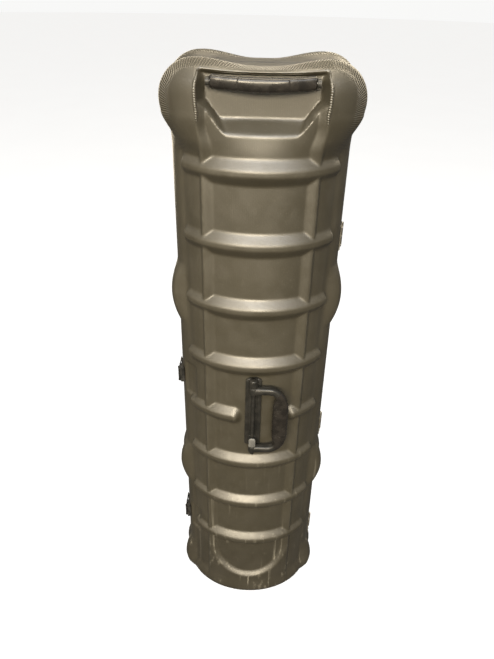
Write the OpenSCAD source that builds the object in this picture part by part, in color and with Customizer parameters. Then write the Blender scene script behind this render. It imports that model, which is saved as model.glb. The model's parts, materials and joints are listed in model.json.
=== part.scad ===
// Hard golf travel case, standing upright on its flat end.
// Two ribbed half shells meet at the plane y = 0 and are hinged along the +X side.
// The front half faces -Y. Latches sit on the -X side and wheels at the back of the foot.
// The origin is the middle of the foot, on the floor.

/* [Case] */
// Half width of the shells where they meet
seam_half_w = 161; // [150:1:170]
// Depth of each half shell from the meeting plane to the rib crests
half_depth = 125; // [115:1:135]
// Height of the flat top between the two head lobes
top_z = 1296; // [1285:1:1300]
// Thickness of the shell walls
wall = 3.5; // [2.5:0.5:5]
// Gap between the two rims when the case is shut
rim_gap = 0.4; // [0.3:0.1:1]

/* [Head lobes] */
// Sideways distance of each lobe's centre from the middle
lobe_x = 110; // [104:1:110]
// Height of the lobe centres
lobe_z = 1242; // [1238:1:1244]
// Corner radius of the rims around the lobes
rim_corner_r = 54; // [52:1:54]
// Outer radius of the swollen lobes
lobe_r = 68; // [65:1:72]

/* [Ribs] */
// Number of ribs across each half
rib_count = 8; // [8:1:8]
// Height of the highest rib
rib_top_z = 1139; // [1135:1:1142]
// Spacing of the ribs
rib_pitch = 132.3; // [131:0.1:133]
// Half height of a rib's flat crest
rib_flat = 3.5; // [3:0.5:5]
// Depth that a rib's sides fall for each millimetre of height
rib_slope = 0.8; // [0.7:0.05:1]

/* [Panels] */
// Half width of the sunken channel down the middle
channel_half_w = 94; // [90:1:97]
// Depth of the channel below the rib crests
channel_depth = 13; // [8:1:16]
// Depth of the ridges beside the channel below the rib crests
ridge_drop = 3; // [2:1:5]
// Depth of the side panels below the rib crests
side_drop = 8.5; // [6:0.5:10]
// Height of the centre of the channel's round lower end
arch_z = 168; // [160:1:176]

/* [Side bumpers] */
// How far the bumpers stand out from the sides
bumper_h = 17; // [12:1:18]
// Heights of the bumpers' middles
bumper_z = [869, 397, 46];
// Half lengths of the bumpers above their middles
bumper_up = [70, 67, 66];
// Half lengths of the bumpers below their middles
bumper_down = [70, 67, 52];

/* [Hinges] */
// Heights of the hinges' middles
hinge_z = [990, 510, 155];
// Sideways distance of the hinge axis
hinge_x = 164.2; // [164.2:0.1:164.6]
// Length of each hinge
hinge_len = 50; // [40:5:60]

/* [Latches] */
// Heights of the latches' middles
latch_z = [661, 215];
// Width of each latch along the side
latch_w = 37; // [36:1:44]
// Distance of the latch pivots from the middle of the case
latch_x = 166.2; // [166:0.1:167]

/* [Wheels] */
// Wheel radius
wheel_r = 30.5; // [28:0.5:30.5]
// Wheel width
wheel_w = 26; // [20:1:28]
// Sideways distance of the wheels' middles
wheel_x = 100; // [95:1:104]
// Distance of the axles behind the meeting plane
axle_y = 107; // [105:1:109]
// Height of the axles
axle_z = 31; // [31:0.5:33]

/* [Top handle] */
// Height of the top handle's pivots
pull_z = 1279; // [1277:1:1281]
// Sideways distance of the top handle's pivots
pull_x = 80; // [76:1:82]
// Forward distance of the grip from the meeting plane
pull_grip_y = 113; // [111:1:115]

/* [Carrying handle] */
// Height of the carrying handle's middle
carry_z = 613; // [605:1:620]
// Height of the carrying bail between its arms
carry_span = 160; // [156:2:160]
// Distance of the grip from the carrying handle's rod
carry_reach = 58; // [50:1:62]
// Distance of the rod in front of the meeting plane
carry_y = 127.5; // [127.5:0.5:130]

/* [Hidden] */
$fn = 48;

shell_color = [0.42, 0.38, 0.31];
black = [0.07, 0.07, 0.07];
steel = [0.62, 0.62, 0.63];
foam = [0.2, 0.2, 0.22];

front = -1;
back = 1;
eps = 0.01;

// ---- Shell form ----
// Rib crests follow an ellipse in plan. Panels drop below it along its normal.
// Rows of points run across the case and columns run up it, both at chosen spacings.
column_deg = [0, 10, 13, 20, 26.5, 30, 33, 37, 40, 44, 51, 60, 70, 80, 83.5, 87, 90];
columns = concat([for (i = [len(column_deg) - 1:-1:1]) -column_deg[i]], column_deg);
head_squareness = 0.36;
edge_r = 45;
edge_power = 4;
corner_sink = 10;
lean_h = 125;
corner_x = lobe_x + rim_corner_r * cos(45);

rim_steps = [1, 0.95, 0.87, 0.76, 0.66, 0.53, 0.34, 0.15, 0];
foot_z = [0, 0, 3, 9, 20];
foot_full = [0, 0.86, 0.93, 0.98, 1];
foot_inset = [22, 14, 7, 2, 0];
lower_z = [40, 66, 78, 106, 130, 150, 170];
rib_half = rib_flat + channel_depth / rib_slope;
rib_shoulder = rib_flat + side_drop / rib_slope;
head_z = [top_z - 108, top_z - 85, top_z - 62];

function rib_z(i) = rib_top_z - i * rib_pitch;
function limit(v) = min(1, max(0, v));
function ease(a, b, v) = let (t = limit((v - a) / (b - a))) t * t * (3 - 2 * t);

// A row is [height at the middle, fullness of the depth, inset of the width].
body_rows = [for (i = [rib_count - 1:-1:0])
    for (dz = concat([-rib_half, -rib_shoulder, -rib_flat, rib_flat, rib_shoulder, rib_half],
                     i > 0 ? [rib_pitch / 2] : []))
        [rib_z(i) + dz, 1, 0]];
rows = concat(
    [for (i = [0:len(foot_z) - 1]) [foot_z[i], foot_full[i], foot_inset[i]]],
    [for (z = lower_z) [z, 1, 0]],
    body_rows,
    [for (z = head_z) [z, 1, 0]],
    [for (g = rim_steps) [top_z - edge_r * (1 - pow(1 - pow(g, edge_power), 1 / edge_power)), g, 0]]);

function rim_x(z) = z <= lobe_z
    ? max(seam_half_w, lobe_x + sqrt(max(0, pow(rim_corner_r, 2) - pow(z - lobe_z, 2))))
    : lobe_x + sqrt(max(0, pow(rim_corner_r, 2) - pow(z - lobe_z, 2)));
function rim_top(x) = let (d = abs(x) - lobe_x)
    max(d > 0 ? 0 : top_z, lobe_z + sqrt(max(0, pow(rim_corner_r, 2) - d * d)));
function bumper(z) = max([for (i = [0:2])
    let (u = (z - bumper_z[i]) / (z > bumper_z[i] ? bumper_up[i] : bumper_down[i]))
        bumper_h * max(0, 1 - u * u)]);
function lobe_side(z) = max(0, lobe_x + sqrt(max(0, pow(lobe_r, 2) - pow(z - lobe_z, 2))) - rim_x(z));
function lobe_top(x) = (lobe_r - rim_corner_r) * (1 - ease(0, lobe_run, lobe_x - abs(x)));

// Swelling of the side or top at a point of the outline, before it fades with depth.
function swelling(x, z, y) = z <= lobe_z
    ? bumper(z) * ease(0, bumper_rise, y) * (1 - ease(bumper_crest, bumper_foot, y))
        + lobe_side(z) * lobe_form(y)
    : (abs(x) <= lobe_x ? lobe_top(x) : lobe_r - rim_corner_r) * lobe_form(y);
// The lobes round up slowly away from the meeting plane and fall quickly in front of their crest.
function lobe_form(y) = sin(90 * limit(y / lobe_crest)) * (1 - ease(lobe_crest + 2, lobe_foot, y));
lobe_crest = 62;
lobe_foot = 90;
// Distance over which a lobe slopes down towards the middle of the top.
lobe_run = 100;
bumper_rise = 30;
bumper_crest = 38;
bumper_foot = 54;
function outward(x, z) = z <= lobe_z ? [sign(x), 0]
    : abs(x) <= lobe_x ? [0, 1]
    : [x - sign(x) * lobe_x, z - lobe_z] / norm([x - sign(x) * lobe_x, z - lobe_z]);

// The fifth rib stops short on the front half, where the carrying handle lies.
gap_left = [-36, -28];
gap_right = [72, 80];
rib_tip = [139, 147];
function handle_gap(i, x, half) = half == front && i == 4
    ? ease(gap_left[0], gap_left[1], x) * (1 - ease(gap_right[0], gap_right[1], x)) : 0;
// Depth of the ribs' own surface below their crests. It passes the panels' depth away from the ribs.
function rib_depth(x, z, half) = channel_depth * ease(rib_tip[0], rib_tip[1], abs(x))
    + min([for (i = [0:rib_count - 1])
        rib_slope * max(0, abs(z - rib_z(i)) - rib_flat) + channel_depth * handle_gap(i, x, half)]);
// The channel widens at the head into the top handle's recess.
head_widening = 12;
widening_z = [1170, 1215];
channel_wall = 9;
ridge_foot = [103, 111];
side_fade = [140, 160];
foot_fade_z = [20, 60];
head_fade_z = [1150, 1190];
function panel(x, z) =
    let (r = z > arch_z ? abs(x) : norm([x, arch_z - z]),
         widened = ease(widening_z[0], widening_z[1], z),
         w = channel_half_w + head_widening * widened,
         across = 1 - ease(w - channel_wall, w + channel_wall - 7 * widened, r),
         inside = across * (1 - ease(top_z - 14, top_z - 4, z)),
         beside = ridge_drop + (side_drop - ridge_drop) * ease(ridge_foot[0], ridge_foot[1], abs(x)),
         ends = ease(foot_fade_z[0], foot_fade_z[1], z) * (1 - ease(head_fade_z[0], head_fade_z[1], z)),
         faded = beside * (1 - ease(side_fade[0], side_fade[1], abs(x))) * ends)
    channel_depth * inside + faded * (1 - inside);
function drop(x, z, half) = min(panel(x, z), rib_depth(x, z, half));

// Two kinds of hollow have a flat floor. A share runs from 0 outside the hollow to 1 on its floor.
// The hand pocket behind the top handle has slanted sides that close in downwards.
pocket_y = 77;
pocket_half_w = 99;
pocket_shoulder_z = 1250;
pocket_slant = 0.8;
pocket_wall = 9;
pocket_low = [1196, 1222];
function pocket(x, z) = (1 - ease(0, pocket_wall, abs(x) - pocket_w(z)))
    * ease(pocket_low[0], pocket_low[1], z) * (1 - ease(top_z - 9, top_z - 2, z));
function pocket_w(z) = pocket_half_w - pocket_slant * max(0, pocket_shoulder_z - z);
// The wheel recesses are in the back half.
recess_y = 69;
recess_room = 4;
recess_wall = 12;
function recess(x, z) =
    let (beyond = abs(abs(x) - wheel_x) - housing_w / 2 - recess_room)
    (1 - ease(0, recess_wall, beyond)) * (1 - ease(housing_h + 2, housing_h + 30, z));

// A point of the shell surface. inset is 0 outside and the wall thickness inside.
square_z = [1150, 1230];
end_h = 60;
function shell_point(row, a, half, inset) =
    let (g = row[1],
         lean = max(0, 1 - (top_z - row[0]) / lean_h),
         at_rim = row[0] > top_z - edge_r - eps ? corner_sink * g : 0,
         square = 1 - head_squareness * ease(square_z[0], square_z[1], row[0]),
         across = sign(a) * pow(abs(sin(a)), square),
         lift = row[0] > top_z / 2 ? -inset * limit(1 - (top_z - row[0]) / end_h)
                                   : inset * limit(1 - row[0] / end_h),
         edge_z = row[0] + (rim_top(corner_x) - top_z) * lean - at_rim,
         x0 = (rim_x(edge_z) - row[2] - inset) * across,
         z0 = row[0] + (rim_top(corner_x * across) - top_z) * lean - at_rim * pow(abs(sin(a)), 6),
         deep = (half_depth - inset) * pow(abs(cos(a)), square) * g,
         n0 = [x0 / pow(seam_half_w, 2), deep / pow(half_depth, 2)],
         n = n0 / max(norm(n0), 1e-9),
         d = deep < 1 ? 0 : drop(x0, z0, half) * limit(deep / bumper_rise),
         s = swelling(x0, z0, deep),
         o = outward(x0, z0),
         y = deep - n[1] * d,
         floor_y = (half == front ? pocket_y : recess_y) - inset,
         share = half == front ? pocket(x0, z0) : recess(x0, z0),
         out_y = y - share * max(0, y - floor_y) + rim_gap / 2)
    [x0 - n[0] * d + s * o[0], half * out_y, z0 + lift + s * o[1]];

module half_shell(half) {
    m = len(rows);
    k = len(columns);
    outer = [for (r = rows) for (a = columns) shell_point(r, a, half, 0)];
    inner = [for (r = rows) for (a = columns) shell_point(r, a, half, wall)];
    offset_in = m * k;
    turn = half == front ? 1 : -1;
    skin = [for (j = [0:m - 2]) for (i = [0:k - 2])
        let (p = j * k + i, q = p + 1, r = p + k, t = r + 1, crossed = (columns[i] >= 0) == (j < m / 2))
            each crossed ? [[p, q, r], [q, t, r]] : [[p, q, t], [p, t, r]]];
    rim = concat([for (i = [0:k - 1]) i], [for (j = [1:m - 1]) j * k + k - 1],
                 [for (i = [k - 2:-1:0]) (m - 1) * k + i], [for (j = [m - 2:-1:1]) j * k]);
    band = [for (i = [0:len(rim) - 1])
        let (p = rim[i], q = rim[(i + 1) % len(rim)])
            each [[p, p + offset_in, q + offset_in], [p, q + offset_in, q]]];
    lining = [for (f = skin) [f[2] + offset_in, f[1] + offset_in, f[0] + offset_in]];
    faces = concat(skin, lining, band);
    polyhedron(concat(outer, inner), turn > 0 ? [for (f = faces) [f[2], f[1], f[0]]] : faces);
}

// Half width of the plain shell at a distance from the meeting plane.
function side_x(y, out) = (seam_half_w + out) * sqrt(1 - pow(y / (half_depth + out), 2));

module back_shell() { color(shell_color) half_shell(back); }
module front_shell() { color(shell_color) half_shell(front); }

// The tongue lines the back rim and reaches into the front half when the case is shut.
tongue_t = 2;
tongue_reach = 5;
tongue_foot = 8;
tongue_clear = 0.6;
function edge_point(row, a, inset) = let (p = shell_point(row, a, back, inset)) [p[0], p[2]];
module rim_outline(inset) {
    last = len(rows) - 1;
    polygon(concat([for (j = [0:last]) edge_point(rows[j], 90, inset)],
                   [for (i = [len(columns) - 2:-1:1]) edge_point(rows[last], columns[i], inset)],
                   [for (j = [last:-1:0]) edge_point(rows[j], -90, inset)]));
}
module rim_tongue() {
    color(black) translate([0, tongue_foot, 0]) rotate([90, 0, 0])
        linear_extrude(tongue_foot + tongue_reach) difference() {
            rim_outline(wall + tongue_clear);
            rim_outline(wall + tongue_clear + tongue_t);
        }
}

// ---- Hinges ----
hinge_r = 2.6;
hinge_pin_r = 1.5;
hinge_run = 0.06;
leaf_t = 1.8;
leaf_reach = 24;
knuckles = 5;
knuckle_len = hinge_len / knuckles;
knuckle_gap = 0.3;

module leaf_profile() {
    ys = [for (y = [hinge_r + 0.9:5:leaf_reach]) y];
    polygon(concat([for (y = ys) [side_x(y, 0.4), y]],
                   [for (i = [len(ys) - 1:-1:0]) [side_x(ys[i], 0.4 + leaf_t), ys[i]]]));
}
module hinge_leaf(half) {
    mirror([0, half == front ? 1 : 0, 0]) difference() {
        union() {
            translate([0, 0, -hinge_len / 2]) linear_extrude(hinge_len) leaf_profile();
            for (i = [0:knuckles - 1]) if ((i % 2 == 0) == (half == back))
                translate([0, 0, -hinge_len / 2 + i * knuckle_len + knuckle_gap / 2])
                    linear_extrude(knuckle_len - knuckle_gap) {
                        translate([hinge_x, 0]) circle(r = hinge_r);
                        translate([hinge_x - 1.7, 0]) square([2.6, hinge_r + 1.4]);
                    }
        }
        translate([hinge_x, 0, 0])
            cylinder(r = hinge_pin_r + (half == front ? hinge_run : eps), h = hinge_len + 2, center = true);
        hinge_rivet_holes();
    }
}
rivet_r = 2;
rivet_head_r = 3.6;
rivet_head_t = 1.6;
rivet_y = 15;
rivet_len = 5;
rivet_spacing = 18;
rivet_seat = side_x(rivet_y, 0.4 + leaf_t) - 0.8;
module hinge_rivet_holes() {
    for (dz = [-1:1]) translate([0, rivet_y, rivet_spacing * dz]) rotate([0, 90, 0]) {
        cylinder(r = rivet_r + eps, h = 170);
        translate([0, 0, rivet_seat]) cylinder(r = rivet_head_r + eps, h = 5);
    }
}
module hinge_rivet() {
    translate([rivet_seat - rivet_len, rivet_y, 0]) rotate([0, 90, 0]) cylinder(r = rivet_r, h = rivet_len);
    translate([rivet_seat, rivet_y, 0]) rotate([0, 90, 0])
        cylinder(r1 = rivet_head_r, r2 = rivet_head_r - 1.2, h = rivet_head_t);
}
module hinge_rivets(half) {
    color(steel) mirror([0, half == front ? 1 : 0, 0])
        for (z = hinge_z) for (dz = [-1:1]) translate([0, 0, z + rivet_spacing * dz]) hinge_rivet();
}
module hinge_leaves_back() {
    color(shell_color) for (z = hinge_z) translate([0, 0, z]) hinge_leaf(back);
}
module hinge_leaves_front() {
    color(shell_color) for (z = hinge_z) translate([0, 0, z]) hinge_leaf(front);
}
module hinge_pins() {
    color(steel) for (z = hinge_z) translate([hinge_x, 0, z])
        cylinder(r = hinge_pin_r, h = hinge_len, center = true);
}
module hinge_rivets_back() { hinge_rivets(back); }
module hinge_rivets_front() { hinge_rivets(front); }

// ---- Latches ----
// Drawn on the +X side with the front half at -Y, then mirrored to the -X side.
base_top = 163.2;
base_near = 3;
base_far = 37;
lever_pivot_y = -30;
loop_pivot_y = -17;
ear_t = 3;
ear_r = 3;
lever_r = 2.6;
lever_pin_r = 1.2;
lever_bottom = 164.2;
lever_tip_y = -4;
loop_r = 1.2;
loop_bar_r = 1.3;
loop_arm_z = latch_w / 2 - ear_t - loop_r - 0.3;
lever_half_w = loop_arm_z - loop_r - 1.3;
loop_far_y = 15.6;
keeper_top = 163.4;
keeper_half_w = 15;
catch_y = 11;
catch_t = 3;
latch_rivet_r = 2.2;

module side_wedge(y0, y1, top) {
    n = 8;
    polygon(concat([[top, y0], [top, y1]],
                   [for (i = [n:-1:0]) let (y = y0 + (y1 - y0) * i / n) [side_x(y, 0.35), y]]));
}
module latch_ear() {
    linear_extrude(ear_t) {
        translate([latch_x, lever_pivot_y]) circle(r = ear_r);
        translate([base_top - 1, lever_pivot_y - ear_r]) square([latch_x - base_top + 1, 2 * ear_r]);
    }
}
module latch_base() {
    difference() {
        union() {
            translate([0, 0, -latch_w / 2]) linear_extrude(latch_w)
                side_wedge(-base_far, -base_near, base_top);
            for (z = [-latch_w / 2, latch_w / 2 - ear_t]) translate([0, 0, z]) latch_ear();
        }
        translate([latch_x, lever_pivot_y, 0])
            cylinder(r = lever_pin_r + eps, h = latch_w + 2, center = true);
        for (y = base_rivet_y) latch_rivet_spots(y) rotate([0, 90, 0])
            cylinder(r = latch_rivet_r + eps, h = 30);
    }
}
rivet_start = 145;
base_rivet_y = [-9, -22];
base_rivet_z = latch_w / 2 - 4.5;
module latch_rivet_spots(y) {
    for (s = [-1, 1]) translate([rivet_start, y, s * base_rivet_z]) children();
}
module lever() {
    barrel_h = latch_w - 2 * ear_t - 0.6;
    difference() {
        union() {
            translate([latch_x, lever_pivot_y, 0]) cylinder(r = lever_r, h = barrel_h, center = true);
            translate([lever_bottom, lever_pivot_y, -lever_half_w])
                cube([latch_x + 2.2 - lever_bottom, lever_tip_y - lever_pivot_y, 2 * lever_half_w]);
            translate([latch_x, lever_tip_y - 3, -lever_half_w]) cube([3, 3, 2 * lever_half_w]);
        }
        translate([latch_x, lever_pivot_y, 0])
            cylinder(r = lever_pin_r + hinge_run, h = latch_w, center = true);
        translate([latch_x, loop_pivot_y, 0])
            cylinder(r = loop_bar_r + hinge_run, h = latch_w, center = true);
    }
}
module latch_loop() {
    bar_h = 2 * loop_arm_z + 2 * loop_r + 0.4;
    for (y = [loop_pivot_y, loop_far_y]) translate([latch_x, y, 0])
        cylinder(r = loop_bar_r, h = bar_h, center = true);
    for (s = [-1, 1]) translate([latch_x, loop_pivot_y, s * loop_arm_z]) rotate([-90, 0, 0])
        cylinder(r = loop_r, h = loop_far_y - loop_pivot_y);
}
module keeper() {
    difference() {
        union() {
            translate([0, 0, -keeper_half_w]) linear_extrude(2 * keeper_half_w) side_wedge(3, 27, keeper_top);
            translate([keeper_top - 1, catch_y, -lever_half_w])
                cube([latch_x + 0.6 - keeper_top + 1, catch_t, 2 * lever_half_w]);
        }
        keeper_rivet_spots() rotate([0, 90, 0]) cylinder(r = latch_rivet_r + eps, h = 30);
    }
}
keeper_rivet_y = 21.5;
keeper_rivet_z = 9;
module keeper_rivet_spots() {
    for (s = [-1, 1]) translate([rivet_start, keeper_rivet_y, s * keeper_rivet_z]) children();
}
module latch_place(i) {
    mirror([1, 0, 0]) translate([0, 0, latch_z[i]]) children();
}
module flush_rivet(y, top) {
    start = side_x(y, 0) - 2 - rivet_start;
    translate([start, 0, 0]) rotate([0, 90, 0]) cylinder(r = latch_rivet_r, h = top - rivet_start - start);
}
module latch_base_upper() { color(black) latch_place(0) latch_base(); }
module latch_base_lower() { color(black) latch_place(1) latch_base(); }
module latch_lever_upper() { color(black) latch_place(0) lever(); }
module latch_lever_lower() { color(black) latch_place(1) lever(); }
module latch_loop_upper() { color(steel) latch_place(0) latch_loop(); }
module latch_loop_lower() { color(steel) latch_place(1) latch_loop(); }
module latch_keepers() { color(black) for (i = [0, 1]) latch_place(i) keeper(); }
module latch_pins() {
    color(steel) for (i = [0, 1]) latch_place(i) translate([latch_x, lever_pivot_y, 0])
        cylinder(r = lever_pin_r, h = latch_w, center = true);
}
module base_rivets() {
    color(steel) for (i = [0, 1]) latch_place(i)
        for (y = base_rivet_y) latch_rivet_spots(y) flush_rivet(y, base_top);
}
module keeper_rivets() {
    color(steel) for (i = [0, 1]) latch_place(i)
        keeper_rivet_spots() flush_rivet(keeper_rivet_y, keeper_top);
}

// ---- Wheels ----
housing_w = 46;
housing_y = 70;
housing_h = 76;
cheek_t = 5.5;
cheek_r = 15;
axle_r = 4;
axle_head_r = 7;
axle_head_t = 2;
hub_r = 21;
tyre_bulge = 3;

module cheek_profile() {
    difference() {
        union() {
            translate([axle_y, axle_z]) circle(r = cheek_r);
            polygon([[housing_y, 4], [axle_y, axle_z - cheek_r], [axle_y + cheek_r, axle_z],
                     [axle_y - 4, housing_h], [housing_y, housing_h]]);
        }
        translate([axle_y, axle_z]) circle(r = axle_r + eps);
    }
}
module wheel_housing(side) {
    translate([side * wheel_x, 0, 0]) {
        for (s = [-1, 1]) translate([s * (housing_w - cheek_t) / 2 - cheek_t / 2, 0, 0])
            rotate([90, 0, 90]) linear_extrude(cheek_t) cheek_profile();
        translate([-housing_w / 2 + cheek_t, housing_y, 4])
            cube([housing_w - 2 * cheek_t, 4, housing_h - 4]);
        translate([-housing_w / 2 + cheek_t, housing_y, housing_h - 5])
            cube([housing_w - 2 * cheek_t, axle_y - 4 - housing_y, 5]);
    }
}
module housing_screws() {
    color(steel) for (side = [-1, 1]) translate([side * wheel_x, housing_y + 4, 0])
        for (dx = [-9, 9]) translate([dx, 0, 60]) rotate([90, 0, 0]) {
            cylinder(r = 1.8, h = 9);
            translate([0, 0, -1.6]) cylinder(r = 3.4, h = 1.6);
        }
}
module axle(side) {
    translate([side * wheel_x, axle_y, axle_z]) rotate([0, 90, 0]) {
        cylinder(r = axle_r, h = housing_w, center = true);
        for (s = [-1, 1]) translate([0, 0, s * (housing_w + axle_head_t) / 2])
            cylinder(r = axle_head_r, h = axle_head_t, center = true);
    }
}
module wheel_hub(side) {
    translate([side * wheel_x, axle_y, axle_z]) rotate([0, 90, 0]) difference() {
        union() {
            cylinder(r = hub_r, h = wheel_w - 6, center = true);
            cylinder(r = 9, h = wheel_w + 4, center = true);
        }
        cylinder(r = axle_r + hinge_run, h = wheel_w + 6, center = true);
        for (a = [0:60:300]) rotate([0, 0, a]) translate([14.5, 0, 0])
            cylinder(r = 3.4, h = wheel_w, center = true);
    }
}
module wheel_tyre(side) {
    shoulder = wheel_r - tyre_bulge;
    edge = wheel_w / 2;
    tread = edge - tyre_bulge;
    translate([side * wheel_x, axle_y, axle_z]) rotate([0, 90, 0]) rotate_extrude()
        polygon([[hub_r + eps, -edge], [shoulder, -edge], [wheel_r, -tread],
                 [wheel_r, tread], [shoulder, edge], [hub_r + eps, edge]]);
}
module wheel_housing_left() { color(black) wheel_housing(-1); }
module wheel_housing_right() { color(black) wheel_housing(1); }
module axle_left() { color(steel) axle(-1); }
module axle_right() { color(steel) axle(1); }
module wheel_hub_left() { color("dimgray") wheel_hub(-1); }
module wheel_hub_right() { color("dimgray") wheel_hub(1); }
module wheel_tyre_left() { color(black) wheel_tyre(-1); }
module wheel_tyre_right() { color(black) wheel_tyre(1); }

// ---- Padding and straps ----
pad_half_w = 142;
pad_deep = 104;
pad_face = 62;
head_pad_low = 1000;
head_pad_high = 1190;
base_half_w = 134;
base_gap = 10;
base_pad_low = 6;
base_pad_high = 44;
module head_pad(half) {
    edge = asin(sqrt(1 - pow(pad_face / pad_deep, 2)));
    color(foam) translate([0, 0, head_pad_low]) linear_extrude(head_pad_high - head_pad_low)
        polygon([for (i = [-8:8]) [pad_half_w * sin(edge * i / 8), half * pad_deep * cos(edge * i / 8)]]);
}
module base_pad(half, deep) {
    color(foam) translate([0, 0, base_pad_low]) linear_extrude(base_pad_high - base_pad_low)
        polygon([for (a = [-90:9:90])
            [base_half_w * sin(a), half * (base_gap + (deep - base_gap) * cos(a))]]);
}
module head_pad_back() { head_pad(back); }
module head_pad_front() { head_pad(front); }
module base_pad_back() { base_pad(back, 60); }
module base_pad_front() { base_pad(front, 88); }

strap_z = [900, 430];
strap_w = 38;
strap_t = 2;
strap_half_w = 150;
strap_deep = 101;
strap_near_deg = 13.4;
strap_far_deg = 80;
module strap_half(s) {
    n = 12;
    a = [for (i = [0:n]) strap_near_deg + (strap_far_deg - strap_near_deg) * i / n];
    for (z = strap_z) translate([0, 0, z - strap_w / 2]) linear_extrude(strap_w)
        polygon(concat([for (v = a) [s * strap_half_w * sin(v), strap_deep * cos(v)]],
                       [for (i = [n:-1:0]) [s * (strap_half_w - strap_t) * sin(a[i]),
                                            (strap_deep - strap_t) * cos(a[i])]]));
}
module straps_left() { color("dimgray") strap_half(-1); }
module straps_right() { color("dimgray") strap_half(1); }
buckle_half = 34;
buckle_y = 92.5;
buckle_t = 9;
module buckle_sockets() {
    color(black) for (z = strap_z) translate([-buckle_half, buckle_y - buckle_t / 2, z - 24]) difference() {
        cube([buckle_half + 4, buckle_t, 48]);
        translate([14, 2, 6]) cube([buckle_half, buckle_t - 4, 36]);
    }
}
module buckle_plugs() {
    color(black) for (z = strap_z) {
        translate([6, buckle_y - buckle_t / 2, z - 24]) cube([buckle_half - 6, buckle_t, 48]);
        translate([-14, buckle_y - 1.8, z - 17]) cube([21, 3.6, 9]);
        translate([-14, buckle_y - 1.8, z + 8]) cube([21, 3.6, 9]);
    }
}
anchor_t = 9;
module strap_anchors() {
    color(black) for (z = strap_z) for (s = [-1, 1]) {
        y = strap_deep * cos(strap_far_deg);
        x = strap_half_w * sin(strap_far_deg);
        translate([s * (x + anchor_t / 2) - anchor_t / 2, y - 8, z - 22]) cube([anchor_t, 10, 44]);
    }
}

// ---- Top handle ----
pull_pivot_y = 101;
pull_bar_r = 8;
pull_arm_r = 5.5;
pull_boss_r = 6;
pull_pin_r = 2.5;
pull_straight = 46;
bar_z = pull_z - 5;
pull_grip_half = 41;
pull_grip_r = 11;
bracket_x = 85;
bracket_t = 6;

module rod_between(p, q, r1, r2) {
    v = q - p;
    translate(p) rotate([0, acos(v[2] / norm(v)), atan2(v[1], v[0])]) cylinder(r1 = r1, r2 = r2, h = norm(v));
}
module pull_frame() {
    color(black) difference() {
        union() {
            translate([-pull_straight, -pull_grip_y, bar_z]) rotate([0, 90, 0])
                cylinder(r = pull_bar_r, h = 2 * pull_straight);
            for (s = [-1, 1]) {
                rod_between([s * (pull_straight - 8), -pull_grip_y, bar_z],
                            [s * (pull_x - 1), -pull_pivot_y - 1, pull_z], pull_arm_r, pull_boss_r - 2);
                translate([s * pull_x, -pull_pivot_y, pull_z]) rotate([0, 90, 0])
                    cylinder(r = pull_boss_r, h = 8, center = true);
            }
        }
        for (s = [-1, 1]) translate([s * pull_x, -pull_pivot_y, pull_z]) rotate([0, 90, 0])
            cylinder(r = pull_pin_r + hinge_run, h = 30, center = true);
    }
}
module pull_grip() {
    color(black) translate([-pull_grip_half, -pull_grip_y, bar_z]) rotate([0, 90, 0]) difference() {
        cylinder(r = pull_grip_r, h = 2 * pull_grip_half);
        translate([0, 0, -1]) cylinder(r = pull_bar_r + eps, h = 2 * pull_grip_half + 2);
    }
}
module pull_pins() {
    color(steel) for (s = [-1, 1]) translate([s * (pull_x + 3.2), -pull_pivot_y, pull_z]) rotate([0, 90, 0])
        cylinder(r = pull_pin_r, h = 14, center = true);
}
bracket_floor = pocket_y + 0.3;
bracket_low = pull_z - 8;
bracket_high = pull_z + 4;
flange_t = 5;
flange_w = 22;
pull_screw_x = 73;
pull_screw_z = pull_z - 2;
pull_screw_r = 1.6;
module pull_brackets() {
    height = bracket_high - bracket_low;
    outer = bracket_x + bracket_t;
    color(black) for (s = [-1, 1]) mirror([s > 0 ? 0 : 1, 0, 0]) difference() {
        union() {
            translate([bracket_x, -pull_pivot_y, pull_z]) rotate([0, 90, 0]) cylinder(r = 6, h = bracket_t);
            translate([bracket_x, -pull_pivot_y, bracket_low])
                cube([bracket_t, pull_pivot_y - bracket_floor, height]);
            translate([outer - flange_w, -bracket_floor - flange_t, bracket_low])
                cube([flange_w, flange_t, height]);
        }
        translate([pull_screw_x, -bracket_floor + 1, pull_screw_z]) rotate([90, 0, 0])
            cylinder(r = pull_screw_r + eps, h = flange_t + 2);
        translate([bracket_x, -pull_pivot_y, pull_z]) rotate([0, 90, 0])
            cylinder(r = pull_pin_r + eps, h = 40, center = true);
    }
}
module pull_screws() {
    color(steel) for (s = [-1, 1])
        translate([s * pull_screw_x, -bracket_floor - flange_t, pull_screw_z]) rotate([-90, 0, 0]) {
            cylinder(r = pull_screw_r, h = flange_t + 4);
            translate([0, 0, -1.5]) cylinder(r = 2 * pull_screw_r, h = 1.5);
        }
}

// ---- Carrying handle ----
plate_low = 536;
plate_high = 720;
plate_half_w = 16;
plate_back = half_depth - channel_depth + 0.5;
plate_t = 6;
lug_h = 18;
rod_r = 4;
rod_low = 520;
rod_end_r = 5;
eye_r = 8.6;
eye_h = 17.4;
arm_r = 8;
bend_r = 26;
grip_w = 33;
grip_t = 20;

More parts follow.
